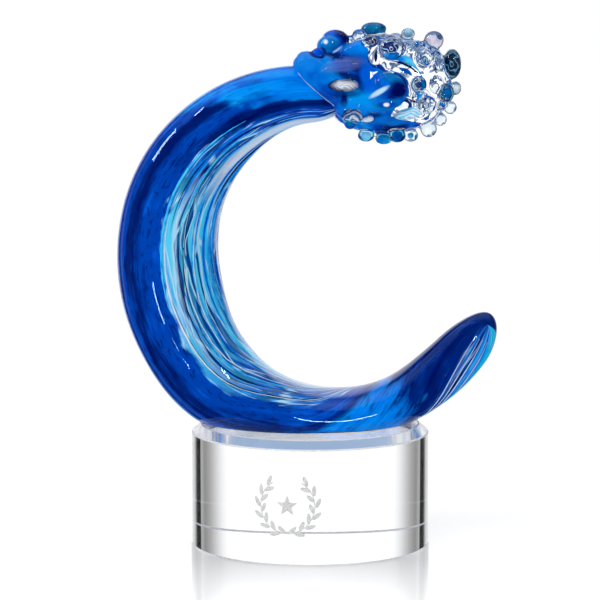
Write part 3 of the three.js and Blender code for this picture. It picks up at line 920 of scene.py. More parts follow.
def draw_bar(name, layer, sides):
    """Extrudes a circle up the bar, ring by ring, and closes both tips."""
    angles = ring_angles(layer)
    deselect_all()
    bpy.ops.mesh.primitive_circle_add(vertices=sides, radius=1, fill_type="NOTHING", location=(0, 0, 0))
    bar = new_piece(name)
    centre, half_width, half_depth = ring_on_bar(angles[0], layer)
    bpy.ops.object.mode_set(mode="EDIT")
    bpy.ops.mesh.select_all(action="SELECT")
    bpy.ops.transform.resize(value=(half_width, half_depth, 1), center_override=(0, 0, 0))
    bpy.ops.transform.translate(value=centre)
    first = centre
    for angle in angles[1:]:
        new_centre, new_width, new_depth = ring_on_bar(angle, layer)
        bpy.ops.mesh.extrude_region_move(TRANSFORM_OT_translate={"value": new_centre - centre})
        growth = (new_width / half_width, new_depth / half_depth, 1)
        bpy.ops.transform.resize(value=growth, center_override=new_centre)
        centre, half_width, half_depth = new_centre, new_width, new_depth
    tip = ring_on_bar(end_angle(NECK_END, layer), layer)[0]
    bpy.ops.mesh.extrude_region_move(TRANSFORM_OT_translate={"value": tip - centre})
    bpy.ops.mesh.merge(type="CENTER")
    select_vertices(bar, lambda co: co.z < first.z + 0.01 * MM)
    tip = ring_on_bar(end_angle(TAIL_END, layer), layer)[0]
    bpy.ops.mesh.extrude_region_move(TRANSFORM_OT_translate={"value": tip - first})
    bpy.ops.mesh.merge(type="CENTER")
    bpy.ops.mesh.select_all(action="SELECT")
    bpy.ops.mesh.normals_make_consistent(inside=False)
    bpy.ops.object.mode_set(mode="OBJECT")
    return bar


def curl(piece):
    """Bends a straight piece round the wave's centre and brings it to its place."""
    heights = [vertex.co.z for vertex in piece.data.vertices]
    turned = (max(heights) - min(heights)) / (BEND_RADIUS * MM)
    apply_modifier(piece, "SIMPLE_DEFORM", deform_method="BEND", deform_axis="Y", angle=turned)
    select_vertices(piece, lambda co: True)
    to_centre = ((WAVE_CENTRE.x - BEND_RADIUS) * MM, 0, WAVE_CENTRE.z * MM)
    bpy.ops.transform.translate(value=to_centre)
    bpy.ops.object.mode_set(mode="OBJECT")


def cut_flat(piece, height, keep_above=True):
    """Cuts the piece at a height, in millimetres, and closes the cut."""
    select_vertices(piece, lambda co: True)
    bpy.ops.mesh.bisect(
        plane_co=(0, 0, height * MM), plane_no=(0, 0, 1), use_fill=True,
        clear_inner=keep_above, clear_outer=not keep_above, threshold=0.001 * MM,
    )
    bpy.ops.object.mode_set(mode="OBJECT")


# %% Clear glass and glue of the wave
FACE_GAP, COLOUR_GAP = 0.02, 0.3


def make_wave_glass():
    wave = draw_bar("wave_glass", SKIN, 40)
    subdivide(wave, 2)
    curl(wave)
    cut_flat(wave, foot_height + FACE_GAP)
    smooth(wave, 50)
    wave.data.materials.append(CASING_GLASS)
    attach(wave, "root")
    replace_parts(wave, "clear_casing", "clear_core")
    return told(wave)


def make_glue_film():
    film = draw_bar("glue_film", FILM, 40)
    subdivide(film, 1)
    curl(film)
    low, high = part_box("adhesive_bond")
    cut_flat(film, low.z / MM + FACE_GAP)
    cut_flat(film, high.z / MM - FACE_GAP, keep_above=False)
    smooth(film, 30)
    film.data.materials.append(GLUE)
    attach(film, "root")
    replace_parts(film, "adhesive_bond")
    return told(film)


wave_glass = make_wave_glass()
make_glue_film()

# %% The colour veil
def turn_and_angle(co, layer):
    """Where a point of the straight bar lies: degrees round it, and its angle along the wave."""
    angle = HALF_TURN - math.degrees(co.z / MM / BEND_RADIUS)
    middle, half_width, half_depth = section(angle, layer)
    across = (co.x / MM - (BEND_RADIUS - middle)) / max(half_width, FACE_GAP)
    deep = co.y / MM / max(half_depth, FACE_GAP)
    return math.degrees(math.atan2(deep, -across)), angle


def write_flow(piece, layer):
    """A UV map in which U runs round the glass, from the streaks' middle, and V along it, per 100 mm."""
    flow = piece.data.uv_layers.new(name="flow")
    for polygon in piece.data.polygons:
        places = []
        for loop in polygon.loop_indices:
            co = piece.data.vertices[piece.data.loops[loop].vertex_index].co
            turn, angle = turn_and_angle(co, layer)
            turn = (turn - station_value(angle, STREAKS) + HALF_TURN) % FULL_TURN - HALF_TURN
            places.append((loop, turn, co.z / (100 * MM)))
        turns = [turn for _, turn, _ in places]
        over_the_seam = max(turns) - min(turns) > HALF_TURN
        for loop, turn, along in places:
            turn += FULL_TURN if over_the_seam and turn < 0 else 0
            flow.data[loop].uv = (turn / FULL_TURN, along)


def make_veil():
    veil = draw_bar("blue_veil", COLOUR, 60)
    subdivide(veil, 1)
    write_flow(veil, COLOUR)
    curl(veil)
    cut_flat(veil, foot_height + COLOUR_GAP)
    smooth(veil, 60)
    veil.data.materials.append(VEIL)
    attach(veil, "root")
    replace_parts(veil, "blue_sheet")
    return told(veil)


make_veil()

# %% Pulled threads of glass in the streaks
BUNDLES = 9
THREADS_EACH, TAIL_THREADS = 5, 1
# Where threads may start, in degrees along the wave, and how often each of the four colours is drawn.
LIMB_STARTS, TAIL_STARTS = (78, 250), (282, 296)
LIMB_WEIGHTS, TAIL_WEIGHTS = (4, 5, 2, 2), (6, 2, 0, 0)
THREAD_POINTS = 16
THREAD_LIFT = 0.25
# How far a thread runs and drifts, and where it ends at the latest, in degrees.
THREAD_RUN, THREAD_DRIFT, THREADS_END = (45, 150), 9, 333
LIMB_THICK, TAIL_THICK = (0.18, 0.25, 0.4, 0.6), (0.2, 0.28)
# The bundles lie a little closer than the CAD model's streaks, and a little to one side.
BUNDLES_SHARE, BUNDLES_SHIFT = 0.9, 7


def thread_curve(turn_from_middle, first, last):
    """One thread on the veil: it starts and ends thin, and drifts across the others."""
    start = chance.uniform(first, last)
    end = min(start + chance.uniform(*THREAD_RUN), THREADS_END)
    drift = chance.uniform(-THREAD_DRIFT, THREAD_DRIFT)
    thick = chance.choice(LIMB_THICK if first in LIMB_STARTS else TAIL_THICK)
    curve = bpy.data.curves.new("thread", "CURVE")
    curve.dimensions = "3D"
    curve.bevel_depth = thick * MM
    curve.bevel_resolution = 0
    spline = curve.splines.new("POLY")
    spline.points.add(THREAD_POINTS - 1)
    for index, point in enumerate(spline.points):
        t = index / (THREAD_POINTS - 1)
        angle = start + (end - start) * t
        turn = station_value(angle, STREAKS) + turn_from_middle + drift * (t - 0.5)
        point.co = (*point_on_bar(angle, turn, COLOUR, THREAD_LIFT), 1)
        point.radius = max(math.sin(math.pi * t), 0.05) ** 0.6
    return curve


def make_bundle(index):
    """The threads that lie where one streak of the CAD model lies, joined to one piece."""
    pitch = 2 * STREAKS_HALF * FULL_TURN / BUNDLES
    middle = (index - (BUNDLES - 1) / 2) * pitch
    deselect_all()
    for number in range(THREADS_EACH + TAIL_THREADS):
        in_limb = number < THREADS_EACH
        reach = LIMB_STARTS if in_limb else TAIL_STARTS
        off = BUNDLES_SHARE * (middle + chance.uniform(-pitch / 2, pitch / 2)) - BUNDLES_SHIFT
        curve = thread_curve(off, *reach)
        thread = bpy.data.objects.new("thread", curve)
        bpy.context.scene.collection.objects.link(thread)
        shade = chance.choices(THREADS, weights=LIMB_WEIGHTS if in_limb else TAIL_WEIGHTS)[0]
        curve.materials.append(shade)
        thread.select_set(True)
        bpy.context.view_layer.objects.active = thread
    bpy.ops.object.convert(target="MESH")
    bpy.ops.object.join()
    bundle = new_piece(f"thread_bundle_{index + 1}")
    curl(bundle)
    cut_flat(bundle, foot_height + COLOUR_GAP)
    smooth(bundle, 180)
    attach(bundle, "root")
    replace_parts(bundle, f"streak_{index + 1}")
    return told(bundle)


for index in range(BUNDLES):
    make_bundle(index)

# %% [markdown]
# ## The crest
# The crest is a second gather of glass, put over the end of the neck while hot and pinched into lumps, with
# drops of glass set on it one by one. Its skin starts as copies of the two CAD solids. Lumps, folds and the
# drops are added as stretched spheres, and a voxel remesh melts them together, as heat does.

# %% Lumps, folds and drops
CREST_REACH, CREST_RISE = 9.0, 6.3
neck_tip = math.radians(NECK_END)
neck_middle = station_value(NECK_END, MIDDLE)
CREST = WAVE_CENTRE + Vector((math.cos(neck_tip), 0, math.sin(neck_tip))) * neck_middle
CREST += Vector((CREST_REACH, 0, CREST_RISE))
DROPS = [f"foam_bead_{index:02d}" for index in range(1, 37)]
print("crest centre", [round(c, 1) for c in CREST], "drops:", len(DROPS))


def lump(name, place, radii, tilt=0.0, detail=24):
    """An ellipsoid, in millimetres from the crest's centre. Tilt raises the end on the camera's right."""
    deselect_all()
    bpy.ops.mesh.primitive_uv_sphere_add(segments=detail, ring_count=detail // 2, location=(0, 0, 0))
    piece = new_piece(name)
    piece.scale = Vector(radii) * MM
    piece.rotation_euler.y = -math.radians(tilt)
    piece.location = (CREST + Vector(place)) * MM
    bpy.ops.object.transform_apply(location=True, rotation=True, scale=True)
    return piece


def coil(name, place, ring, thick):
    """A torus that faces the front, leaning back a little."""
    deselect_all()
    bpy.ops.mesh.primitive_torus_add(
        major_segments=40, minor_segments=12, major_radius=ring * MM, minor_radius=thick * MM,
        location=(CREST + Vector(place)) * MM, rotation=(math.radians(70), 0, math.radians(-15)),
    )
    piece = new_piece(name)
    bpy.ops.object.transform_apply(location=True, rotation=True, scale=True)
    return piece


def tube(name, places, thick):
    """A tapered, smooth tube through places from the crest's centre, as a mesh."""
    curve = bpy.data.curves.new(name, "CURVE")
    curve.dimensions = "3D"
    curve.bevel_depth = thick * MM
    curve.bevel_resolution = 3
    curve.use_fill_caps = True
    spline = curve.splines.new("NURBS")
    spline.points.add(len(places) - 1)
    spline.use_endpoint_u = True
    for index, (point, place) in enumerate(zip(spline.points, places)):
        point.co = (*((CREST + Vector(place)) * MM), 1)
        point.radius = max(math.sin(math.pi * index / (len(places) - 1)), 0.12)
    piece = bpy.data.objects.new(name, curve)
    bpy.context.scene.collection.objects.link(piece)
    pick(piece)
    bpy.ops.object.convert(target="MESH")
    return piece


def joined(pieces, name):
    deselect_all()
    for piece in pieces:
        piece.select_set(True)
    bpy.context.view_layer.objects.active = pieces[0]
    bpy.ops.object.join()
    return new_piece(name)


# Each is (place from the crest's centre, radii, tilt), in millimetres and degrees.
HOOD_FORMS = [
    ((-21.2, -9.0, 2.6), (15.5, 10.2, 7.3), -43),
    ((-29.2, -9.0, 8.6), (5.6, 7.5, 4.4), -8),
    ((-23.0, -4.0, 9.0), (9.0, 12.0, 5.6), 12),
    ((-19.2, -4.5, 16.8), (5.6, 6.4, 4.3), 14),
    ((-13.0, -12.0, 8.4), (11.5, 7.0, 3.4), 4),
    ((5.2, -16.6, -0.8), (8.4, 6.2, 6.6), 18),
    ((4.4, -16.4, -8.6), (8.0, 5.0, 3.4), 4),
    ((-9.0, -12.5, -10.0), (8.5, 6.5, 5.5), -10),
    ((-6.0, -9.0, 15.0), (9.0, 7.0, 4.2), 12),
]
FOAM_FORMS = [
    ((0.4, -12.4, 12.2), (3.0, 4.0, 5.2), -12),
    ((14.5, -12.8, 14.6), (6.0, 2.6, 1.3), 48),
    ((17.4, -12.6, 13.4), (6.2, 2.6, 1.3), 52),
    ((20.2, -12.0, 12.0), (6.0, 2.6, 1.3), 54),
    ((22.8, -11.2, 10.4), (5.4, 2.6, 1.3), 58),
    ((12.0, -15.0, 5.0), (6.5, 4.0, 2.6), -30),
    ((24.0, -13.0, 0.6), (3.9, 3.4, 4.2), 0),
    ((13.6, -16.6, -11.2), (6.6, 3.6, 3.0), 10),
]
HOLLOWS = [((-13.3, -21.6, 0.4), (7.6, 4.6, 3.3), -3)]
NODULES = 18
# The nodules' places round the clear end of the crest, in degrees, and their sizes. The clear end is given
# by its middle, right of the crest's centre, and its half width and half depth.
NODULE_TURNS, NODULE_LEANS, NODULE_SIZES, NODULE_TILT = (-85, 95), (-70, 80), (2.6, 4.2), 40
FOAM_MIDDLE, FOAM_HALF, FOAM_HALF_DEPTH = 13, 18, 17.5
# The remesh's grid before and after the hollows are cut.
VOXEL_FIRST, VOXEL_LAST = 0.5 * MM, 0.46 * MM
SWIRL_PLACE = (6.8, -19.6, 15.2)


def drop_ellipsoid(name, node, share, detail):
    low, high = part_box(node)
    middle = (low + high) / 2 / MM - CREST
    return lump(name, middle, (high - low) / 2 / MM * share, 0, detail)


def foam_nodule():
    """A small lump on the clear end of the crest."""
    turn = math.radians(chance.uniform(*NODULE_TURNS))
    lean = math.radians(chance.uniform(*NODULE_LEANS))
    size = chance.uniform(*NODULE_SIZES)
    out = (
        FOAM_MIDDLE + FOAM_HALF * math.cos(turn) * math.cos(lean),
        FOAM_HALF_DEPTH * math.sin(lean),
        FOAM_HALF * math.sin(turn) * math.cos(lean),
    )
    tilt = chance.uniform(-NODULE_TILT, NODULE_TILT)
    return lump("nodule", out, (size, size, size * 0.8), tilt, 16)


def make_crest_skin():
    pieces = [copy_of(nodes[name], name + "_copy") for name in ("crest_hood", "crest_foam")]
    pieces += [lump("lump", *values) for values in HOOD_FORMS + FOAM_FORMS]
    pieces += [foam_nodule() for _ in range(NODULES)]
    pieces += [drop_ellipsoid("drop", node, 1.0, 24) for node in DROPS]
    pieces += [coil("swirl", SWIRL_PLACE, 3.5, 1.2), coil("swirl", SWIRL_PLACE, 1.3, 0.8)]
    crest = joined(pieces, "crest_glass")
    apply_modifier(crest, "REMESH", mode="VOXEL", voxel_size=VOXEL_FIRST)
    hollows = joined([lump("hollow", *values) for values in HOLLOWS], "hollows")
    apply_modifier(crest, "BOOLEAN", operation="DIFFERENCE", object=hollows)
    bpy.data.objects.remove(hollows)
    apply_modifier(crest, "REMESH", mode="VOXEL", voxel_size=VOXEL_LAST)
    apply_modifier(crest, "SMOOTH", factor=0.5, iterations=5)
    smooth(crest, 180)
    crest.data.materials.append(FOAM_GLASS)
    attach(crest, "root")
    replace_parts(crest, "crest_hood", "crest_foam")
    return told(crest)


crest_glass = make_crest_skin()

# %% [markdown]
# The blue of the hood is a thin layer just under the skin, so it is the skin again, shrunk. It ends at a
# winding border, and it is left out round the eye and inside the drops. Its paint is made of soft oval
# patches, and some of them are painted light: a sheen, shade round the eye and on the bump, a highlight
# and a glint.

# %% Blue colour inside the crest
# The border is (height, how far right the blue reaches), in millimetres from the crest's centre.
BORDER = [
    (-22, 11), (-18.5, 14), (-17, 20), (-15.5, 20), (-14, 12), (-12.5, 7), (-9, 9), (-7.8, 11.4),
    (-4.9, 13.4), (0.2, 12.6), (4, 10.4), (6.1, 5), (7.8, 0), (10.3, -2.6), (16.2, -2.6), (22, -1),
]
# Each eye is a gap in the blue: (middle, half width, half height).
EYES = [((-13.3, 0.2), 6.2, 2.3), ((-9.7, -12.6), 3.7, 2.7), ((-3.4, -13.8), 2.6, 1.5)]
BLUE_DROPS = (2, 21)
COLOUR_DEPTH, COLOUR_THICK = 0.9, 0.5
BORDER_ROUNDS = 12
drop_boxes = [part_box(node) for index, node in enumerate(DROPS, start=1) if index not in BLUE_DROPS]


def border_at(height):
    for (low, first), (high, second) in zip(BORDER, BORDER[1:]):
        if low <= height <= high:
            return first + (second - first) * (height - low) / (high - low)
    return BORDER[0][1] if height < BORDER[0][0] else BORDER[-1][1]


def in_drop(co):
    for low, high in drop_boxes:
        size = (high - low) / 2
        off = co - (low + high) / 2
        if (off.x / size.x) ** 2 + (off.y / size.y) ** 2 + (off.z / size.z) ** 2 < 1:
            return True
    return False


def in_eye(place):
    for (x, z), half_width, half_height in EYES:
        if math.hypot((place.x - x) / half_width, (place.z - z) / half_height) < 1 and place.y < 0:
            return True
    return False


def is_clear(co):
    place = co / MM - CREST
    return place.x > border_at(place.z) or in_eye(place) or in_drop(co)


LIGHT_ROYAL = colour(20, 126, 224)
LAVENDER_AND_PAINTED_SHEEN = colour(84, 104, 176)
HOOD_BLUE = colour(4, 104, 210)
HOOD_AZURE = colour(8, 146, 234)
TEAL = colour(16, 118, 186)
# Each patch is (middle, half width, half height, tilt, colour, strength), in millimetres and degrees.
PATCHES = [
    ((-30, 9.5), 7.5, 4.5, 10, LIGHT_ROYAL, 0.9),
    # Painted reflection: a lavender sheen across the hood's top.
    ((-13.5, 8.6), 9.5, 2.8, 12, LAVENDER_AND_PAINTED_SHEEN, 0.65),
    ((-8, 15.4), 7, 3, 0, AZURE, 0.7),
    ((-17.7, 12.2), 4.5, 1.5, -15, NAVY, 0.9),
    # Painted shade round the eye: navy above it and to its right.
    ((-9.7, 3.4), 8.5, 1.9, -16, NAVY, 0.9),
    ((-6.2, 0.4), 2, 3.2, 0, NAVY, 0.7),
    ((-12, -3.3), 7.5, 2.2, 0, NAVY, 0.7),
    ((-13, -6), 1.8, 4, 0, NAVY, 0.95),
    ((-7, -11), 9, 4.5, -8, LIGHT_ROYAL, 0.75),
    ((-20, -2), 4, 3, -45, COBALT, 0.7),
    ((-3, 4.5), 3.6, 7, 5, ROYAL, 0.9),
    ((7.6, 3.2), 5.5, 2.2, -20, TEAL, 0.85),
    # Painted shade on the bump's right side, and a painted highlight, a pale streak, on its left.
    ((9.8, -1.6), 4.6, 4.4, 15, NAVY, 1.0),
    ((1.2, -2.5), 5, 1.1, 32, PALE, 0.95),
    ((4.6, -7.8), 6.8, 2.5, 3, TEAL, 0.9),
    ((4.6, -7.8), 4.6, 1.4, 3, COBALT, 0.9),
    ((4.4, -7.8), 1.3, 0.8, 0, WHITE, 1.0),
    ((-0.4, -12), 3.5, 1.8, 0, NAVY, 0.8),
    ((8.5, -14), 10, 2.4, 4, LIGHT_ROYAL, 0.8),
    ((-19, 17.5), 4.6, 3.6, 10, TEAL, 0.8),
    ((-16, 14.8), 2.6, 0.8, 35, PALE, 0.9),
    # Painted glint: a white dot on the blue lobe at the top.
    ((-20.8, 18), 1.1, 1.0, 0, WHITE, 0.95),
]
PATCH_DEPTH, PATCH_FRONT = 26, -18


def patch_mask(tree, place, middle, half_width, half_height, tilt, noise):
    """How much a point on the front lies in an oval patch with a ragged edge."""
    oval = shader(
        tree, "ShaderNodeMapping", vector_type="TEXTURE",
        Location=(CREST + Vector((middle[0], PATCH_FRONT, middle[1]))) * MM,
        Rotation=(0, -math.radians(tilt), 0), Scale=Vector((half_width, PATCH_DEPTH, half_height)) * MM,
    )
    link(tree, place, oval.inputs["Vector"])
    away = shader(tree, "ShaderNodeVectorMath", operation="LENGTH")
    link(tree, oval.outputs[0], away.inputs[0])
    return band(tree, roughened(tree, away.outputs["Value"], noise, 0.9), (0.6, 1), (1.15, 0))


def hood_material():
    material, tree = new_material("hood_blue_glass")
    place = own_place(tree)
    turned = shader(tree, "ShaderNodeMapping", Rotation=(math.radians(90), 0, math.radians(35)))
    link(tree, place, turned.inputs["Vector"])
    clouds = grouped(tree, PULLED_STREAKS, turned.outputs[0], Across=70, Along=45, Detail=3)
    shades = ramp(tree, clouds, [(0.34, NAVY), (0.42, COBALT), (0.5, HOOD_BLUE), (0.6, HOOD_AZURE)])
    for middle, half_width, half_height, tilt, shade, strength in PATCHES:
        mask = patch_mask(tree, place, middle, half_width, half_height, tilt, clouds)
        shades = blend(tree, times(tree, mask, strength), shades, shade)
    inside_colour(tree, shades, 0.4)
    return material


def make_hood_colour():
    hood = copy_of(crest_glass, "hood_colour")
    select_vertices(hood, lambda co: True)
    bpy.ops.transform.shrink_fatten(value=-COLOUR_DEPTH * MM)
    bpy.ops.object.mode_set(mode="OBJECT")
    apply_modifier(hood, "SMOOTH", factor=0.5, iterations=4)
    select_vertices(hood, is_clear)
    bpy.ops.mesh.delete(type="VERT")
    bpy.ops.mesh.select_all(action="DESELECT")
    bpy.ops.mesh.select_non_manifold()
    bpy.ops.mesh.vertices_smooth(factor=0.5, repeat=BORDER_ROUNDS)
    bpy.ops.object.mode_set(mode="OBJECT")
    apply_modifier(hood, "SOLIDIFY", thickness=COLOUR_THICK * MM, offset=-1)
    smooth(hood, 180)
    hood.data.materials.append(hood_material())
    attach(hood, "root")
    return told(hood)


make_hood_colour()

# %% [markdown]
# Each drop holds glass of its own. Most are tinted, and some have a kernel of solid colour, which the round
# skin over it magnifies. Rings of colour, pulled out of round, make the swirls.

# %% Glass in the drops
def tinted_glass(name, dark, light, index=1.05):
    """Coloured glass inside clear glass, so it bends light only a little."""
    material, tree = new_material(name)
    surface = shader(tree, "ShaderNodeBsdfPrincipled", Roughness=0.0, IOR=index)
    surface.inputs["Transmission Weight"].default_value = 1.0
    place = own_place(tree)
    mottle = grouped(tree, HAND_POLISH, place, Size=260, Detail=2)
    link(tree, ramp(tree, mottle, [(0.42, dark), (0.6, light)]), surface.inputs["Base Color"])
    finish_material(tree, lit_through(tree, surface, light))
    return material


RINGS_SCALE, RINGS_DISTORTION = 0.4, 11.0


def swirl_material(name, middle, size, shades):
    """Rings of colour round a place in metres, pulled out of round."""
    material, tree = new_material(name)
    place = own_place(tree)
    rings = shader(tree, "ShaderNodeMapping", vector_type="TEXTURE", Location=middle, Scale=size)
    link(tree, place, rings.inputs["Vector"])
    wave = shader(tree, "ShaderNodeTexWave", wave_type="RINGS", rings_direction="Y", Scale=RINGS_SCALE)
    wave.inputs["Distortion"].default_value = RINGS_DISTORTION
    wave.inputs["Detail"].default_value = 2.0
    link(tree, rings.outputs[0], wave.inputs["Vector"])
    surface = shader(tree, "ShaderNodeBsdfPrincipled", Roughness=0.25)
    link(tree, ramp(tree, wave.outputs["Color"], shades), surface.inputs["Base Color"])
    finish_material(tree, surface)
    return material


SMOKE = (colour(150, 172, 186), colour(214, 226, 232))
DARK_TEAL = (colour(84, 136, 164), colour(170, 206, 220))
TURQUOISE = (colour(60, 170, 205), colour(190, 236, 248))
SAPPHIRE = (colour(70, 150, 226), colour(170, 220, 248))
WATER = (colour(214, 226, 234), colour(250, 253, 255))
VIOLET = (colour(176, 172, 196), colour(240, 240, 248))
TINTS = {
    1: SAPPHIRE, 2: SAPPHIRE, 5: TURQUOISE, 8: VIOLET, 9: DARK_TEAL, 10: SMOKE, 11: DARK_TEAL,
    12: SMOKE, 17: TURQUOISE, 18: TURQUOISE, 19: TURQUOISE, 20: TURQUOISE, 25: SAPPHIRE, 29: DARK_TEAL,
    31: SMOKE, 33: TURQUOISE, 35: TURQUOISE,
}
SLATE, SLATE_BLUE = colour(18, 44, 72), colour(76, 128, 160)
TEAL_MIX = (colour(10, 84, 128), colour(44, 160, 200))
# Each kernel is (its share of the drop, dark colour, light colour).
KERNELS = {
    1: (0.6, ROYAL, SKY), 2: (0.5, LIGHT_ROYAL, SKY), 5: (0.72, *TEAL_MIX), 7: (0.5, SLATE_BLUE, PALE),
    10: (0.3, INK, LAVENDER_AND_PAINTED_SHEEN), 11: (0.36, INK, SKY), 16: (0.25, DEEP, CYAN),
    17: (0.42, DEEP, SKY), 18: (0.46, SKY, CYAN), 19: (0.4, CYAN, WHITE), 20: (0.36, *TEAL_MIX),
    25: (0.5, ROYAL, SKY), 29: (0.3, INK, SKY), 33: (0.45, SKY, CYAN), 35: (0.4, *TEAL_MIX),
}
DROP_SHARE, SWIRL_SHARE = 0.86, 0.56
SWIRLED = {6: (NAVY, SKY, WHITE), 9: (SLATE, SLATE_BLUE, WHITE), 24: (INK, LAVENDER_AND_PAINTED_SHEEN, WHITE)}


def finish_drop(piece, material):
    smooth(piece, 180)
    piece.data.materials.append(material)
    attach(piece, "root")
    return piece


def make_droplets():
    for index, node in enumerate(DROPS, start=1):
        tint = tinted_glass(f"drop_tint_{index:02d}", *TINTS.get(index, WATER))
        drop = drop_ellipsoid(f"droplet_{index:02d}", node, DROP_SHARE, 32)
        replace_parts(finish_drop(drop, tint), node)
        if index in KERNELS:
            share, dark, light = KERNELS[index]
            kernel = drop_ellipsoid(f"droplet_kernel_{index:02d}", node, share, 20)
            finish_drop(kernel, thread_material(f"drop_kernel_{index:02d}", dark, light))
        if index in SWIRLED:
            dark, middle, light = SWIRLED[index]
            low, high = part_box(node)
            kernel = drop_ellipsoid(f"droplet_kernel_{index:02d}", node, SWIRL_SHARE, 20)
            shades = [(0.2, dark), (0.4, middle), (0.55, light), (0.8, dark)]
            swirl = swirl_material(f"drop_swirl_{index:02d}", (low + high) / 2, (high - low) / 4, shades)
            finish_drop(kernel, swirl)


make_droplets()

# %% The eye and the wisps of colour
SILVER = colour(150, 160, 158)
EYE_SHADES = [(0.1, WHITE), (0.3, SILVER), (0.42, WHITE), (0.55, INK), (0.68, SILVER), (0.85, WHITE)]
TEAL_SHADES = [(0.1, TEAL), (0.3, DEEP), (0.45, WHITE), (0.6, SILVER), (0.8, WHITE)]
WATER_SHADES = [(0.1, WHITE), (0.4, SKY), (0.55, NAVY), (0.7, WHITE)]
LEAF_SHADES = [(0.1, WHITE), (0.3, CYAN), (0.42, WHITE), (0.5, DEEP), (0.58, WHITE), (0.8, CYAN)]
AZURE_WISP = thread_material("azure_wisp", ROYAL, SKY)
CYAN_WISP = thread_material("cyan_wisp", AZURE, CYAN)
NAVY_WISP = thread_material("navy_wisp", NAVY, INK)
# Each wisp is (name, thickness, material, its places from the crest's centre), all in millimetres.
WISPS = [
    ("wisp_ridge", 1.7, CYAN_WISP,
     [(3, -13, 13), (7, -14, 12.6), (11, -14.5, 11.6), (15, -14.5, 9.8), (18, -14, 6)]),
    # A navy thread just under the cyan ridge: a painted shade along its lower edge.
    ("wisp_painted_shade", 0.7, NAVY_WISP, [(6, -14, 10.8), (11, -15, 9.8), (15, -15, 7.8), (17.4, -14.5, 5)]),
    ("wisp_fall", 1.4, AZURE_WISP, [(18, -14, 6), (19.6, -15, 2), (19.6, -15.4, -2), (17.4, -15, -7)]),
    ("wisp_dot", 1.2, NAVY_WISP, [(16, -15.6, 6), (16.9, -15.8, 5.4), (17.6, -15.6, 4.6)]),
    ("wisp_curl_1", 0.3, NAVY_WISP, [(12, -15, 3), (14, -16, 2), (13, -16, 0), (15.6, -16, -1)]),
    ("wisp_curl_2", 0.3, NAVY_WISP, [(15, -16, 1.5), (13.6, -16, -2), (15.8, -16, -3), (14.2, -16, -5)]),
    ("wisp_foot", 1.0, NAVY_WISP, [(11, -15, -7), (15, -15.5, -6.4), (19, -15, -6.8)]),
    ("wisp_tear", 1.0, NAVY_WISP, [(0, -14.6, 10), (0.2, -15, 12), (0.4, -14.6, 15)]),
]
# Each swirl is (name, place, radii, tilt, its shades): silver in the eyes, turquoise in the clear leaf.
SWIRLS = [
    ("eye_swirl", (-13.3, -14.2, 0.2), (6.4, 2.2, 2.6), -3, EYE_SHADES),
    ("lower_swirl", (-9.7, -11.6, -12.6), (3.9, 2.4, 2.9), 20, TEAL_SHADES),
    ("small_swirl", (-3.4, -13.2, -13.8), (2.8, 1.8, 1.7), 0, WATER_SHADES),
    ("leaf_swirl", (13.4, -16.0, -11.4), (5.4, 1.6, 2.3), 10, LEAF_SHADES),
]
# The rings' middle lies a little low, so that they open upwards.
SWIRL_OFF = Vector((0.9, 0, -1.5))


def make_swirls():
    for name, place, radii, tilt, shades in SWIRLS:
        piece = lump(name, place, radii, tilt, 32)
        size = Vector((radii[0], radii[0], radii[2])) * 0.5 * MM
        middle = (CREST + Vector(place) + SWIRL_OFF) * MM
        material = swirl_material(name + "_glass", middle, size, shades)
        finish_drop(piece, material)


def make_wisps():
    for name, thick, material, places in WISPS:
        finish_drop(tube(name, places, thick), material)


make_swirls()
make_wisps()

# %% The lip of the hood
# The lip is a pale thread on the neck, where the hood's edge ends: a painted highlight for the bright line
# along the hood's clear edge. Each place is (right of the crest's centre, up from it), in millimetres.
LIP = [
    (-34.4, 10.0), (-33.6, 6.6), (-31.4, 3.6), (-28.4, 1.2),
    (-25, -1.2), (-21.8, -4), (-18.6, -7), (-16.4, -10),
]
LIP_THICK = 0.55
LOOKING_IN = Vector((0, 1, 0))


def on_neck(right, up):
    """The place on the wave's front skin at a height and a distance from the crest's centre."""
    start = Vector(((CREST.x + right) * MM, -0.2, (CREST.z + up) * MM))
    found, place, _, _ = wave_glass.ray_cast(start, LOOKING_IN)
    return (place / MM - CREST) if found else None


def make_lip():
    places = [place for place in (on_neck(*point) for point in LIP) if place]
    print("lip thread on the neck from", [round(c, 1) for c in places[0]], "in", len(places), "places")
    thread = tube("lip_thread", places, LIP_THICK)
    # The pale thread is a painted highlight along the lip.
    finish_drop(thread, thread_material("lip_painted_highlight", SILVER, WHITE))


make_lip()

# %% [markdown]
# ## The base

# %% Crystal disc
BEVEL_WIDTH, BEVEL_DROP = 4.3, 3.5
ARRIS = 0.45


def make_base():
    low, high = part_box("crystal_base")
    radius = (high.x - low.x) / 2
    straight = high.z - BEVEL_DROP * MM
    deselect_all()
    bpy.ops.mesh.primitive_cylinder_add(vertices=192, radius=radius, depth=straight, location=(0, 0, 0))
    base = new_piece("crystal_disc")
    bpy.ops.object.mode_set(mode="EDIT")
    bpy.ops.transform.translate(value=(0, 0, straight / 2))
    select_vertices(base, lambda co: co.z > straight - 1e-6)
    bpy.ops.mesh.inset(thickness=BEVEL_WIDTH * MM, depth=0)
    bpy.ops.transform.translate(value=(0, 0, BEVEL_DROP * MM))
    bpy.ops.object.mode_set(mode="OBJECT")
    base.data.materials.append(CRYSTAL)
    base.data.materials.append(GROUND_ARRIS)
    apply_modifier(
        base, "BEVEL", width=ARRIS * MM, segments=1, material=1,
        limit_method="ANGLE", angle_limit=math.radians(20),
    )
    smooth(base, 15)
    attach(base, "root")
    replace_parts(base, "crystal_base")
    return told(base)


make_base()

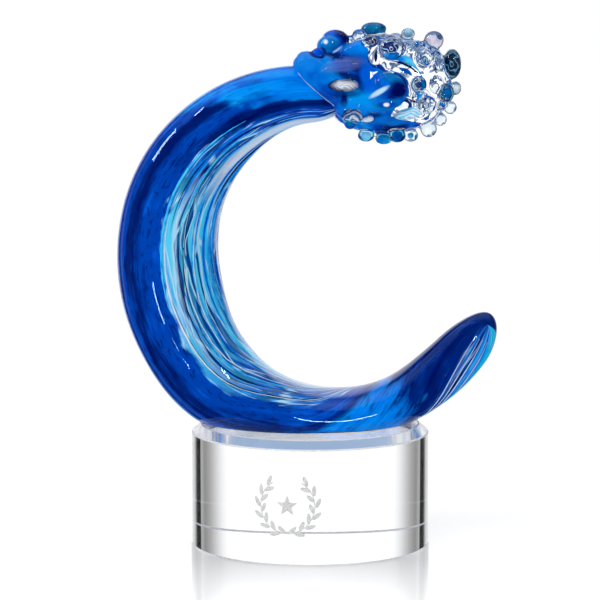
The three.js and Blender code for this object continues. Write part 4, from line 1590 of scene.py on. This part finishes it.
# %% Etched wreath
# The front of the base is sandblasted with a plain wreath and a star, a little left of the middle.
MOTIF_TURN = -11.0
WREATH_HEIGHT, WREATH_RADIUS, LEAVES, STEM_PARTS = 25.0, 11.5, 12, 18
ETCHED = 0.1
# Arcs are (start, reach) in degrees. Leaves lie outside and inside the stem by turns, each kind with
# (how far off the stem it lies, how it leans).
LEAF_ARC, STEM_ARC = (-78, 132), (-84, 138)
LEAVES_OUTSIDE, LEAVES_INSIDE = (1.5, 28), (-1.1, 152)
LEAF_SIZE, STEM_SIZE, STAR_SIZE = (4.6, 1.8), (2.2, 0.45), 4.6
# The star has outer and inner corners by turns, and the inner ones lie nearer its middle.
STAR_CORNERS, STAR_WAIST = 10, 0.42
base_radius = (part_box("crystal_base")[1].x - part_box("crystal_base")[0].x) / 2 / MM


def on_base(piece, along, height, tilt=0.0):
    """Turns a flat piece to its place on the round wall: along and height in millimetres."""
    turn = math.radians(MOTIF_TURN) + along / base_radius
    piece.rotation_euler = (0, -math.radians(tilt), turn)
    piece.location = Vector((base_radius * math.sin(turn), -base_radius * math.cos(turn), height)) * MM
    bpy.ops.object.transform_apply(location=True, rotation=True, scale=True)
    return piece


def etched_leaf(along, height, length, width, tilt):
    deselect_all()
    bpy.ops.mesh.primitive_uv_sphere_add(segments=16, ring_count=8, radius=1, location=(0, 0, 0))
    piece = new_piece("etched_leaf")
    piece.scale = Vector((length / 2, ETCHED, width / 2)) * MM
    return on_base(piece, along, height, tilt)


def etched_star(height, size):
    deselect_all()
    bpy.ops.mesh.primitive_cylinder_add(
        vertices=STAR_CORNERS, radius=size * MM, depth=2 * ETCHED * MM, location=(0, 0, 0),
        rotation=(math.radians(90), 0, 0),
    )
    piece = new_piece("etched_star")
    bpy.ops.object.transform_apply(rotation=True)
    for vertex in piece.data.vertices:
        corner = round(math.atan2(vertex.co.x, vertex.co.z) / math.tau * STAR_CORNERS)
        if corner % 2:
            vertex.co.x *= STAR_WAIST
            vertex.co.z *= STAR_WAIST
    return on_base(piece, 0, height)


def etched_glass():
    material, tree = new_material("etched_glass")
    place = own_place(tree)
    grain = grouped(tree, HAND_POLISH, place, Size=1400, Detail=2)
    surface = shader(tree, "ShaderNodeBsdfPrincipled", Roughness=0.75)
    shades = [(0.35, colour(196, 197, 196)), (0.65, colour(222, 223, 222))]
    link(tree, ramp(tree, grain, shades), surface.inputs["Base Color"])
    finish_material(tree, surface)
    return material


def make_motif():
    pieces = [etched_star(WREATH_HEIGHT, STAR_SIZE)]
    for side in (-1, 1):
        for index in range(LEAVES):
            turn = math.radians(LEAF_ARC[0] + LEAF_ARC[1] * index / (LEAVES - 1))
            off, lean = LEAVES_OUTSIDE if index % 2 else LEAVES_INSIDE
            reach = WREATH_RADIUS + off
            along, height = side * reach * math.cos(turn), WREATH_HEIGHT + reach * math.sin(turn)
            tilt = side * (math.degrees(turn) + 90) + side * (lean - 90) * 0.5
            pieces.append(etched_leaf(along, height, *LEAF_SIZE, tilt))
        for index in range(STEM_PARTS):
            turn = math.radians(STEM_ARC[0] + STEM_ARC[1] * index / (STEM_PARTS - 1))
            along = side * WREATH_RADIUS * math.cos(turn)
            height = WREATH_HEIGHT + WREATH_RADIUS * math.sin(turn)
            pieces.append(etched_leaf(along, height, *STEM_SIZE, side * (math.degrees(turn) + 90)))
    motif = joined(pieces, "etched_wreath")
    smooth(motif, 30)
    motif.data.materials.append(etched_glass())
    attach(motif, "root")
    return told(motif)


make_motif()
